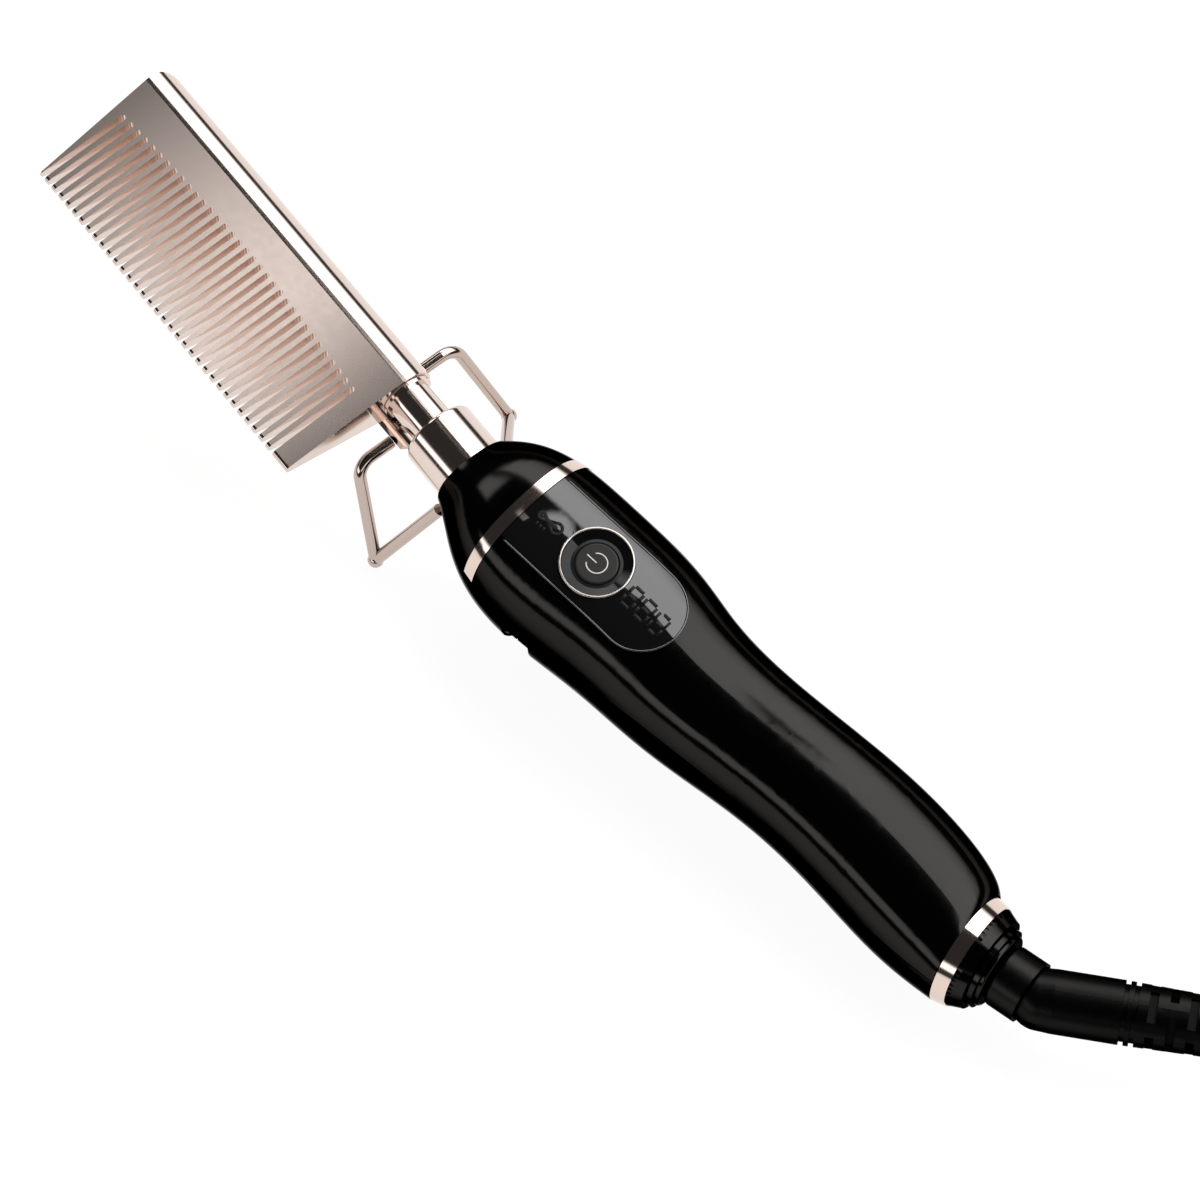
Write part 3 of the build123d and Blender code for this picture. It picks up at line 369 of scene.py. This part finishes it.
@dataclass(frozen=True)
class HandleFrame:
    """Where the handle's own axes stand in the row: X to the comb, Z out of the control panel.

    Attributes:
        mouth: Middle of the handle's front mouth.
        slope: How far the nose is raised at rest, in degrees.
        yaw: How far the handle leans from the neck, in degrees.
        panel_side: Sideways place of the panel's middle line.
        above: Height from which marks are dropped onto a piece.
        neighbours: Points on each side that a dropped point is compared with.
        step_limit: Furthest that a dropped point may lie from the middle of its neighbours.
    """

    mouth: Point = (0.0455345, 0.012316, 0.0319016)
    slope: float = 5.600754
    yaw: float = 6.6
    panel_side: float = 0.0008
    above: float = 0.06
    neighbours: int = 3
    step_limit: float = 0.0003

    def matrix(self) -> np.ndarray:
        """Rotation from the handle's axes to the row's.

        Returns:
            The rotation, three by three.
        """
        tip, turn = math.radians(self.slope), math.radians(self.yaw)
        rise, level = math.sin(tip), math.cos(tip)
        raise_nose = np.array([[level, 0.0, -rise], [0.0, 1.0, 0.0], [rise, 0.0, level]])
        side, ahead = math.sin(turn), math.cos(turn)
        lean = np.array([[ahead, -side, 0.0], [side, ahead, 0.0], [0.0, 0.0, 1.0]])
        return raise_nose @ lean

    def to_row(self, points: np.ndarray) -> np.ndarray:
        """Places points given in the handle's frame into the row."""
        return points @ self.matrix().T + np.array(self.mouth)

    def onto(self, target: bpy.types.Object, flat: np.ndarray, lift: float) -> np.ndarray:
        """Drops flat points onto a piece, looking down the panel's normal.

        A point that misses the piece, or lands far from its neighbours, takes the depth between the
        sound points before and after it.

        Args:
            target: The piece that carries the mark.
            flat: Points (x, y) in the handle's frame, one row each.
            lift: Height above the piece in metres.

        Returns:
            The points in the row, one row each.
        """
        down = Vector(self.matrix() @ np.array([0.0, 0.0, -1.0]))
        high = self.to_row(np.column_stack([flat, np.full(len(flat), self.above)]))
        drops = []
        for start in high:
            hit, place, _, _ = target.ray_cast(Vector(start), down)
            drops.append((place - Vector(start)).length if hit else math.nan)
        drop = np.array(drops)
        shifts = range(-self.neighbours, self.neighbours + 1)
        near = np.nanmedian(np.stack([np.roll(drop, shift) for shift in shifts]), axis=0)
        sound = np.abs(drop - near) < self.step_limit
        order = np.arange(len(drop))
        drop = np.interp(order, order[sound], drop[sound])
        return high + np.array(down) * (drop - lift)[:, None]

    @property
    def normal(self) -> np.ndarray:
        """The panel's outward normal in the row."""
        return self.matrix() @ np.array([0.0, 0.0, 1.0])


def add_piece(
    name: str, meshes: list[bpy.types.Mesh], finish: Finish, body: Body
) -> None:
    """Joins meshes into one dressed piece that rides on a body.

    Args:
        name: The piece's name.
        meshes: Meshes in the row frame.
        finish: The piece's finish.
        body: The body that carries it.
    """
    points, faces, start = [], [], 0
    for mesh in meshes:
        co = np.empty(len(mesh.vertices) * 3, dtype=np.float32)
        mesh.vertices.foreach_get("co", co)
        points.append(co.reshape(-1, 3))
        faces.extend([[start + corner for corner in polygon.vertices] for polygon in mesh.polygons])
        start += len(mesh.vertices)
    joined = bpy.data.meshes.new(name)
    joined.from_pydata(np.concatenate(points).tolist(), [], faces)
    joined.shade_smooth()
    joined.materials.append(finish.material())
    piece = bpy.data.objects.new(name, joined)
    bpy.context.scene.collection.objects.link(piece)
    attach(piece, body.value)
    LOG.info("%s: %d faces", name, len(faces))


# --- control panel -----------------------------------------------------------------------------
@dataclass(frozen=True)
class HeatSign:
    """Sizes of the unlit thermometer, which lies along the handle with its bulb to the rear.

    Places along the handle are counted from the sign's middle, towards the comb.

    Attributes:
        place: Sign's distance behind the mouth.
        side: Sign's sideways place from the panel's middle line.
        bulb_place: Place of the bulb's middle.
        bulb_radius: Radius of the bulb.
        bulb_span: Angles at which the bulb's outline starts and ends, in degrees.
        bulb_points: Points along the bulb's outline.
        stem_place: Place of the middle of the stem's round end.
        stem_radius: Radius of the stem's round end.
        stem_points: Points along the stem's round end.
        column_end: Place of the end of the filled column.
        column_points: Points along the filled column.
        tick_places: Places of the tick marks.
        tick_reach: Nearest and furthest sideways place of a tick mark.
        tick_points: Points along a tick mark.
        outline_width: Width of the outline.
        column_width: Width of the filled column.
        tick_width: Width of a tick mark.
    """

    place: float = 0.0262
    side: float = 0.0005
    bulb_place: float = -0.0018
    bulb_radius: float = 0.0013
    bulb_span: Pair = (40.0, 320.0)
    bulb_points: int = 29
    stem_place: float = 0.0026
    stem_radius: float = 0.0008
    stem_points: int = 13
    column_end: float = 0.0016
    column_points: int = 8
    tick_places: tuple[float, ...] = (0.0002, 0.0012, 0.0022)
    tick_reach: Pair = (0.0016, 0.0025)
    tick_points: int = 4
    outline_width: float = 0.0008
    column_width: float = 0.0011
    tick_width: float = 0.0006


@dataclass
class PanelMarks:
    """Power symbol, unlit digits, unlit heat sign and the bead round the window.

    Attributes:
        frame: The handle's frame.
        sign: Sizes of the heat sign.
        button_place: Button's distance behind the mouth.
        symbol_radius: Radius of the power symbol's open ring.
        symbol_gap: Half of the ring's opening, in degrees.
        bar_start: Start of the symbol's bar, ahead of the button's middle.
        bar_length: Length of the symbol's bar.
        bar_points: Points along the bar.
        line: Width of the symbol's lines.
        relief: Thickness of a printed line.
        window_start: Window's front edge behind the mouth.
        window_end: Window's far end behind the mouth.
        window_half_width: Half of the window's width.
        bead_inset: How far behind the window's front edge the bead starts.
        bead_gap: How far outside the window's edge the bead runs.
        bead_width: Width of the bead.
        bead_height: Height of the bead.
        digit_place: Middle digit's distance behind the mouth.
        digit_pitch: Distance from one digit to the next.
        digit_width: Width of a digit, along the handle.
        digit_height: Height of a digit, across the handle.
        digit_side: Sideways place of the digits from the panel's middle line.
        segment_line: Width of a digit's segments.
        segment_trim: Share of that width by which a segment's ends stand back.
        segment_points: Points along a segment.
    """

    frame: HandleFrame
    sign: HeatSign = HeatSign()
    button_place: float = 0.040
    symbol_radius: float = 0.00235
    symbol_gap: float = 38.0
    bar_start: float = 0.0001
    bar_length: float = 0.0029
    bar_points: int = 9
    line: float = 0.00026
    relief: float = 0.00008
    window_start: float = 0.0202
    window_end: float = 0.0636
    window_half_width: float = 0.00975
    bead_inset: float = 0.0008
    bead_gap: float = 0.00028
    bead_width: float = 0.00042
    bead_height: float = 0.00034
    digit_place: float = 0.0553
    digit_pitch: float = 0.0040
    digit_width: float = 0.0029
    digit_height: float = 0.0048
    digit_side: float = 0.0004
    segment_line: float = 0.00080
    segment_trim: float = 0.35
    segment_points: int = 4

    def flat_bead(
        self, name: str, target: bpy.types.Object, flat: np.ndarray, width: float
    ) -> bpy.types.Mesh:
        """A thin printed line on a piece.

        Args:
            name: The mesh's name.
            target: The piece that carries the line.
            flat: Points (x, y) along the line in the handle's frame, one row each.
            width: Width of the line.

        Returns:
            The mesh.
        """
        path = self.frame.onto(target, flat, self.relief / 4.0)
        up = np.tile(self.frame.normal, (len(path), 1))
        return tube_mesh(name, path, up, width, self.relief)

    def power_symbol(self, button: bpy.types.Object) -> None:
        """Adds the open ring and the bar; the ring opens towards the comb.

        Args:
            button: The button.
        """
        middle = np.array([-self.button_place, self.frame.panel_side])
        span = (self.symbol_gap, 360.0 - self.symbol_gap)
        ring = arc(middle, self.symbol_radius, span, RING_POINTS)
        reach = np.linspace(0.0, self.bar_length, self.bar_points)
        bar = middle + np.column_stack([reach + self.bar_start, np.zeros_like(reach)])
        meshes = [
            self.flat_bead("symbol_ring", button, ring, self.line),
            self.flat_bead("symbol_bar", button, bar, self.line),
        ]
        add_piece("power_symbol", meshes, MARK_WHITE, Body.BUTTON)

    def digit_segments(self, middle: np.ndarray) -> list[np.ndarray]:
        """Centre lines of the seven segments of one digit, which reads along the handle.

        Args:
            middle: The digit's middle (x, y) in the handle's frame.

        Returns:
            The points (x, y) of each segment.
        """
        half_width, half_height = self.digit_width / 2.0, self.digit_height / 2.0
        trim = self.segment_line * self.segment_trim
        ends = []
        for level in (-half_height, 0.0, half_height):
            ends.append(((-half_width + trim, level), (half_width - trim, level)))
        for side in (-half_width, half_width):
            ends.append(((side, -half_height + trim), (side, -trim)))
            ends.append(((side, trim), (side, half_height - trim)))
        share = np.linspace(0.0, 1.0, self.segment_points)[:, None]
        return [
            middle - (np.array(start) * (1.0 - share) + np.array(end) * share)
            for start, end in ends
        ]

    def digits(self, window: bpy.types.Object) -> None:
        """Adds three unlit seven-segment digits on the window's face.

        Args:
            window: The window.
        """
        meshes = []
        for number in (-1, 0, 1):
            place = -self.digit_place - number * self.digit_pitch
            middle = np.array([place, self.frame.panel_side + self.digit_side])
            for segment in self.digit_segments(middle):
                meshes.append(self.flat_bead("segment", window, segment, self.segment_line))
        add_piece("unlit_digits", meshes, UNLIT_SEGMENT, Body.HANDLE)

    def heat_sign(self, window: bpy.types.Object) -> None:
        """Adds the unlit thermometer: a bulb, a stem with a round end, and tick marks.

        Args:
            window: The window.
        """
        sign = self.sign
        middle = np.array([-sign.place, self.frame.panel_side + sign.side])
        bulb_middle = middle + np.array([sign.bulb_place, 0.0])
        stem_middle = middle + np.array([sign.stem_place, 0.0])
        bulb = arc(bulb_middle, sign.bulb_radius, sign.bulb_span, sign.bulb_points)
        stem_end = arc(stem_middle, sign.stem_radius, (-90.0, 90.0), sign.stem_points)
        outline = np.concatenate([bulb[::-1], stem_end, bulb[-1:]])
        reach = np.linspace(sign.bulb_place, sign.column_end, sign.column_points)
        column = middle + np.column_stack([reach, np.zeros_like(reach)])
        meshes = [
            self.flat_bead("sign_outline", window, outline, sign.outline_width),
            self.flat_bead("sign_column", window, column, sign.column_width),
        ]
        sideways = np.linspace(*sign.tick_reach, sign.tick_points)
        for place in sign.tick_places:
            tick = middle + np.column_stack([np.full_like(sideways, place), sideways])
            meshes.append(self.flat_bead("sign_tick", window, tick, sign.tick_width))
        add_piece("unlit_heat_sign", meshes, UNLIT_SEGMENT, Body.HANDLE)

    def window_bead(self, cover: bpy.types.Object) -> None:
        """Adds the fine rounded edge of the cover round the window, which catches the light.

        Args:
            cover: The top cover.
        """
        half = self.window_half_width + self.bead_gap
        bend = -self.window_end + self.window_half_width
        front = -self.window_start - self.bead_inset
        straight = np.linspace(front, bend, STRAIGHT_POINTS, endpoint=False)
        flat = np.concatenate(
            [
                np.column_stack([straight, np.full_like(straight, half)]),
                arc(np.array([bend, 0.0]), half, (90.0, 270.0), ARC_POINTS),
                np.column_stack([straight[::-1], np.full_like(straight, -half)]),
            ]
        )
        flat[:, 1] += self.frame.panel_side
        path = self.frame.onto(cover, flat, 0.0)
        up = np.tile(self.frame.normal, (len(path), 1))
        mesh = tube_mesh("bead", path, up, self.bead_width, self.bead_height)
        add_piece("window_edge_bead", [mesh], RIM_BLACK, Body.HANDLE)

    def build(self, nodes: dict[str, bpy.types.Object]) -> None:
        """Makes every mark on the panel.

        Args:
            nodes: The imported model's objects by node name.
        """
        self.power_symbol(nodes["power_button"])
        self.digits(nodes["control_window"])
        self.heat_sign(nodes["control_window"])
        self.window_bead(nodes["top_cover"])


# --- cord --------------------------------------------------------------------------------------
@dataclass
class CordSet:
    """The free cord: from the boot to the coil, the coil, a wide loop, and on to the plug.

    Attributes:
        radius: Radius of the cord.
        boot_end: Where the cord leaves the boot.
        lead: End of its straight start.
        approach: Place above the table that leads into the coil.
        middle: The coil's middle on the surface.
        mean_radius: Radius of the coil's middle turns.
        loop_radius: Radius of the loop that leads from the coil to the plug.
        loop_rise: How far the loop's far side stands past the plug's middle line.
        loop_height: Height of the loop's middle line on the surface.
        loop_count: Control points along the loop.
        fall_start: Share of the loop at which it starts to come down.
        fall_length: Share of the loop over which it comes down.
        plug_tail: Where the cord enters the plug.
        plug_lead: Length of the straight end before the plug.
        length: The cord's length. Not used.
        points_per_turn: Control points in each turn.
        first_angle: Angle at which the first turn starts, in degrees.
        ease_start: Share of a turn at which it starts to move over to the next.
        smoothness: Bevel resolution, and curve resolution between control points.
    """

    radius: float = 0.003
    boot_end: Point = (-0.165342, -0.0413, 0.017826)
    lead: Point = (-0.180652, -0.05415, 0.018526)
    approach: Point = (-0.2115, -0.0627, 0.0042)
    middle: Point = (-0.248, -0.020, 0.0012)
    mean_radius: float = 0.034
    loop_radius: float = 0.0245
    loop_rise: float = 0.003
    loop_height: float = 0.0036
    loop_count: int = 12
    fall_start: float = 0.16
    fall_length: float = 0.6
    plug_tail: Point = (-0.279, 0.0363, 0.007)
    plug_lead: float = 0.022
    length: float = 1.8
    points_per_turn: int = 16
    first_angle: float = -100.0
    ease_start: float = 0.6
    smoothness: int = 6

    def lanes(self) -> list[tuple[float, float]]:
        """Radius and height of each turn, bottom layer first.

        Returns:
            One (radius, height) pair for each turn.
        """
        width = 2.0 * self.radius
        low = self.middle[2] + self.radius
        outer = self.mean_radius + width
        inner = self.mean_radius - width
        return [
            (outer, low),
            (self.mean_radius, low),
            (inner, low),
            (inner, low + width),
            (inner, low + 2.0 * width),
            (self.mean_radius, low + width),
            (outer, low + width),
            (self.mean_radius, low + 2.0 * width),
        ]

    def leave_angle(self) -> float:
        """Where on the last turn the loop's circle touches it from outside.

        The far side of the loop's circle stands past the plug's middle line by the rise. So its
        middle is one loop radius short of that, and both radii away from the coil's middle.

        Returns:
            The angle in radians.
        """
        far_side = self.plug_tail[1] + self.loop_rise
        reach = self.mean_radius + self.loop_radius
        return math.asin((far_side - self.loop_radius - self.middle[1]) / reach)

    def coil_points(self) -> list[Point]:
        """Control points of the turns; each turn eases to the next over its last part.

        Returns:
            The points in order along the cord.
        """
        lanes = self.lanes()
        start = math.radians(self.first_angle)
        last_share = (start - self.leave_angle()) / (2.0 * math.pi) + 1.0
        last = len(lanes) - 1
        turns = last + last_share
        points = []
        for turn in np.linspace(0.0, turns, round(turns * self.points_per_turn) + 1):
            lane = min(int(turn), last)
            here, after = lanes[lane], lanes[min(lane + 1, last)]
            ease = max(0.0, (turn - lane - self.ease_start) / (1.0 - self.ease_start))
            radius = here[0] + (after[0] - here[0]) * ease
            height = here[1] + (after[1] - here[1]) * ease
            angle = start - turn * 2.0 * math.pi
            points.append(
                (
                    self.middle[0] + radius * math.cos(angle),
                    self.middle[1] + radius * math.sin(angle),
                    height,
                )
            )
        return points

    def loop_points(self) -> list[Point]:
        """Control points of the loop that turns back from the coil and comes down to the surface.

        Returns:
            The points in order along the cord, without the one on the coil.
        """
        leave = self.leave_angle()
        reach = self.mean_radius + self.loop_radius
        middle = (
            self.middle[0] + reach * math.cos(leave),
            self.middle[1] + reach * math.sin(leave),
        )
        high = self.lanes()[-1][1]
        start = leave - math.pi
        sweep = math.pi / 2.0 - start
        points = []
        for share in np.linspace(0.0, 1.0, self.loop_count + 1)[1:]:
            angle = start + sweep * share
            down = min(1.0, max(0.0, (share - self.fall_start) / self.fall_length))
            down = down * down * (3.0 - 2.0 * down)
            points.append(
                (
                    middle[0] + self.loop_radius * math.cos(angle),
                    middle[1] + self.loop_radius * math.sin(angle),
                    high + (self.loop_height - high) * down,
                )
            )
        return points

    def build(self, nodes: dict[str, bpy.types.Object]) -> None:
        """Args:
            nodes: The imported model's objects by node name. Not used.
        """
        straight = (self.plug_tail[0] + self.plug_lead, *self.plug_tail[1:])
        run = [self.boot_end, self.lead, self.approach]
        route = [*run, *self.coil_points(), *self.loop_points(), straight, self.plug_tail]
        curve = bpy.data.curves.new("mains_cord", "CURVE")
        curve.dimensions = "3D"
        curve.bevel_depth = self.radius
        curve.bevel_resolution = self.smoothness
        curve.use_fill_caps = True
        spline = curve.splines.new("NURBS")
        spline.points.add(len(route) - 1)
        weighted = np.array([(*point, 1.0) for point in route], dtype=np.float32)
        spline.points.foreach_set("co", weighted.ravel())
        spline.order_u = 3
        spline.use_endpoint_u = True
        spline.resolution_u = self.smoothness
        cord = bpy.data.objects.new("mains_cord", curve)
        bpy.context.scene.collection.objects.link(cord)
        curve.materials.append(CORD_RUBBER.material())
        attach(cord, Body.BOOT.value)
        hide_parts("cord_run", "cord_coil", "cord_plug_run")
        LOG.info("mains_cord: %d route points", len(route))


# --- studio ------------------------------------------------------------------------------------
@dataclass(frozen=True)
class CeilingPatch:
    """A bright patch on the room's dark ceiling, seen in gloss and metal.

    The ceiling is one unit above the part, so a place on it is the sideways part of a direction
    divided by its upward part.

    Attributes:
        along: Lowest and highest place along the row, x over z.
        across: Lowest and highest place across the row, y over z.
        along_soft: Width of the soft edge at each end.
        across_soft: Width of the soft edge at each side.
        slope: How far the sides lean, y over x.
        strength: How bright the patch is.
    """

    along: Pair
    across: Pair
    along_soft: Pair
    across_soft: Pair
    slope: float
    strength: float


@dataclass(frozen=True)
class SoftLamp:
    """A rectangular light that points at the part.

    Attributes:
        name: The lamp's name.
        place: Where it stands.
        size: Its width and height in metres.
        power: Its power in watts.
    """

    name: str
    place: Point
    size: Pair
    power: float


class Sums:
    """Lays out sums in one node tree."""

    def __init__(self, tree: bpy.types.NodeTree) -> None:
        """Keeps the tree that the nodes go into.

        Args:
            tree: The node tree.
        """
        self.tree = tree

    def number(self, operation: str, first: Term, second: Term) -> bpy.types.NodeSocket:
        """Adds one sum.

        Args:
            operation: The maths node's operation.
            first: First number or socket.
            second: Second number or socket.

        Returns:
            The result's socket.
        """
        node = self.tree.nodes.new("ShaderNodeMath")
        node.operation = operation
        for place, value in enumerate((first, second)):
            if isinstance(value, float):
                node.inputs[place].default_value = value
            else:
                self.tree.links.new(value, node.inputs[place])
        return node.outputs["Value"]

    def ramp(
        self, value: bpy.types.NodeSocket, zero_at: float, one_at: float
    ) -> bpy.types.NodeSocket:
        """Adds a smooth step from zero to one.

        Args:
            value: The socket whose value is stepped.
            zero_at: Value up to which the step is zero.
            one_at: Value from which it is one, above or below the other.

        Returns:
            The result's socket.
        """
        node = self.tree.nodes.new("ShaderNodeMapRange")
        node.interpolation_type = "SMOOTHSTEP"
        node.inputs["From Min"].default_value = zero_at
        node.inputs["From Max"].default_value = one_at
        self.tree.links.new(value, node.inputs["Value"])
        return node.outputs["Result"]

    def seen(self) -> bpy.types.NodeSocket:
        """One for camera, glossy and transmission rays, and zero for rays that light the part.

        Returns:
            The result's socket.
        """
        rays = self.tree.nodes.new("ShaderNodeLightPath").outputs
        through = self.number("MAXIMUM", rays["Is Glossy Ray"], rays["Is Transmission Ray"])
        return self.number("MAXIMUM", rays["Is Camera Ray"], through)


@dataclass
class Studio:
    """Camera, floor, room and soft lights.

    Attributes:
        eye: The camera's place.
        right: The picture's right-hand direction.
        up: The picture's upward direction.
        focal_share: Focal length as a share of the picture's width.
        sensor: Width of the camera's sensor in millimetres.
        view_reach: Nearest and furthest distance that the camera sees.
        room: Plain brightness of the room.
        backdrop: Heights of a direction at which the white backdrop ends and the room starts.
        lowest: Lowest height of a direction that is used to find its place on the ceiling.
        patches: Bright patches of the ceiling.
        lamps: Soft lights above the part.
        floor_half: Half of the floor's width.
        floor_shade: Colour of the floor, which keeps the part's shadow faint.
        floor_roughness: Roughness of the floor.
        floor_glow: Strength of the floor's own white.
    """

    eye: Point = (-0.324034, 0.214063, 0.816947)
    right: Point = (-0.618538, -0.783938, -0.053404)
    up: Point = (0.691346, -0.575262, 0.437167)
    focal_share: float = 3.298675
    sensor: float = 36.0
    view_reach: Pair = (0.05, 20.0)
    room: float = 0.03
    backdrop: Pair = (0.03, 0.10)
    lowest: float = 0.02
    patches: tuple[CeilingPatch, ...] = (
        CeilingPatch((-1.3, 0.27), (-3.2, -0.2812), (0.5, 0.03), (2.4, 0.004), 0.145, 3.6),
        CeilingPatch((0.255, 2.2), (-3.2, -0.45), (0.030, 0.9), (2.4, 0.12), 0.0, 3.6),
        CeilingPatch((0.285, 0.34), (-0.14, -0.04), (0.012, 0.12), (0.02, 0.03), 0.0, 1.9),
        CeilingPatch((-1.4, 1.2), (1.4, 3.4), (0.5, 0.5), (0.6, 1.2), 0.0, 2.2),
        CeilingPatch((1.0, 2.4), (-0.40, 0.25), (0.35, 0.6), (0.20, 0.25), 0.0, 3.0),
        CeilingPatch((-3.5, -1.6), (-1.5, 1.5), (1.0, 0.6), (0.6, 0.6), 0.0, 1.5),
    )
    lamps: tuple[SoftLamp, ...] = (
        SoftLamp("key", (0.4, -0.6, 1.1), (0.9, 0.6), 4.0),
        SoftLamp("fill", (-0.6, 0.7, 0.9), (0.9, 0.6), 3.0),
    )
    floor_half: float = 3.0
    floor_shade: float = 0.12
    floor_roughness: float = 0.9
    floor_glow: float = 0.93

    def camera(self) -> None:
        """Makes the camera and sets it as the scene's."""
        right = Vector(self.right).normalized()
        up = (Vector(self.up) - Vector(self.up).dot(right) * right).normalized()
        back = right.cross(up)
        data = bpy.data.cameras.new("camera")
        data.sensor_width = self.sensor
        data.sensor_fit = "HORIZONTAL"
        data.lens = self.sensor * self.focal_share
        data.clip_start, data.clip_end = self.view_reach
        camera = bpy.data.objects.new("camera", data)
        turn = Matrix((right, up, back)).transposed().to_4x4()
        camera.matrix_world = Matrix.Translation(self.eye) @ turn
        bpy.context.scene.collection.objects.link(camera)
        bpy.context.scene.camera = camera

    @staticmethod
    def light(lamp: SoftLamp) -> None:
        """Adds one soft rectangular light that points at the part and isn't seen in gloss.

        Args:
            lamp: The lamp's place, size and power.
        """
        data = bpy.data.lights.new(lamp.name, "AREA")
        data.shape = "RECTANGLE"
        data.size, data.size_y = lamp.size
        data.energy = lamp.power
        light = bpy.data.objects.new(lamp.name, data)
        light.location = lamp.place
        light.rotation_euler = (-Vector(lamp.place)).to_track_quat("-Z", "Y").to_euler()
        light.visible_glossy = False
        bpy.context.scene.collection.objects.link(light)

    def world(self) -> None:
        """A dark room with bright ceiling patches above a white backdrop.

        The backdrop's share of a direction is one near the horizon, for the rays that see it. The
        brightness is that share, plus the room and its patches times what is left of one.
        """
        world = bpy.data.worlds.new("studio")
        bpy.context.scene.world = world
        world.use_nodes = True
        tree = world.node_tree
        tree.nodes.clear()
        sums = Sums(tree)
        output = tree.nodes.new("ShaderNodeOutputWorld")
        background = tree.nodes.new("ShaderNodeBackground")
        place = tree.nodes.new("ShaderNodeTexCoord")
        parts = tree.nodes.new("ShaderNodeSeparateXYZ")
        tree.links.new(place.outputs["Generated"], parts.inputs["Vector"])
        height = parts.outputs["Z"]
        safe = sums.number("MAXIMUM", height, self.lowest)
        along = sums.number("DIVIDE", parts.outputs["X"], safe)
        across = sums.number("DIVIDE", parts.outputs["Y"], safe)
        total: Term = self.room
        for patch in self.patches:
            total = sums.number("ADD", total, self.patch_light(sums, patch, along, across))
        low = sums.ramp(height, self.backdrop[1], self.backdrop[0])
        seen = sums.number("MULTIPLY", low, sums.seen())
        room_part = sums.number("MULTIPLY", total, sums.number("SUBTRACT", 1.0, seen))
        tree.links.new(sums.number("ADD", room_part, seen), background.inputs["Color"])
        tree.links.new(background.outputs["Background"], output.inputs["Surface"])

    @staticmethod
    def patch_light(
        sums: Sums,
        patch: CeilingPatch,
        along: bpy.types.NodeSocket,
        across: bpy.types.NodeSocket,
    ) -> Term:
        """The brightness that one patch adds, as the product of a ramp at each of its four sides.

        Args:
            sums: The world's sums.
            patch: The patch.
            along: Place on the ceiling along the row.
            across: Place on the ceiling across the row.

        Returns:
            The socket that holds the brightness.
        """
        side = sums.number("SUBTRACT", across, sums.number("MULTIPLY", along, patch.slope))
        light: Term = patch.strength
        for place, limits, soft in (
            (along, patch.along, patch.along_soft),
            (side, patch.across, patch.across_soft),
        ):
            rise = sums.ramp(place, limits[0], limits[0] + soft[0])
            fall = sums.ramp(place, limits[1] + soft[1] / 2.0, limits[1] - soft[1] / 2.0)
            light = sums.number("MULTIPLY", light, sums.number("MULTIPLY", rise, fall))
        return light

    def floor(self) -> None:
        """A wide floor that is white by its own glow and keeps a faint shadow of the part."""
        half, shade = self.floor_half, self.floor_shade
        corners = [(-half, -half, 0.0), (half, -half, 0.0), (half, half, 0.0), (-half, half, 0.0)]
        mesh = bpy.data.meshes.new("floor")
        mesh.from_pydata(corners, [], [(0, 1, 2, 3)])
        floor = bpy.data.objects.new("floor", mesh)
        bpy.context.scene.collection.objects.link(floor)
        nodes = Nodes("white_floor")
        nodes.shader.inputs["Base Color"].default_value = (shade, shade, shade, 1.0)
        nodes.shader.inputs["Roughness"].default_value = self.floor_roughness
        nodes.shader.inputs["Specular IOR Level"].default_value = 0.0
        nodes.shader.inputs["Emission Color"].default_value = (1.0, 1.0, 1.0, 1.0)
        sums = Sums(nodes.tree)
        glow = sums.number("MULTIPLY", sums.seen(), self.floor_glow)
        nodes.tree.links.new(glow, nodes.shader.inputs["Emission Strength"])
        mesh.materials.append(nodes.material)

    def build(self) -> None:
        """Sets up the whole studio."""
        bpy.context.scene.view_settings.view_transform = "Standard"
        self.camera()
        self.world()
        self.floor()
        for lamp in self.lamps:
            self.light(lamp)
        LOG.info("studio: %d lamps and %d ceiling patches", len(self.lamps), len(self.patches))


def main() -> None:
    """Builds the hot comb's looks in order and reports each piece."""
    logging.basicConfig(level=logging.INFO)
    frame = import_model()
    nodes = frame["nodes"]
    Studio().build()
    dress_nodes(nodes)
    PanelMarks(HandleFrame()).build(nodes)
    CordSet().build(nodes)


if __name__ == "__main__":
    main()
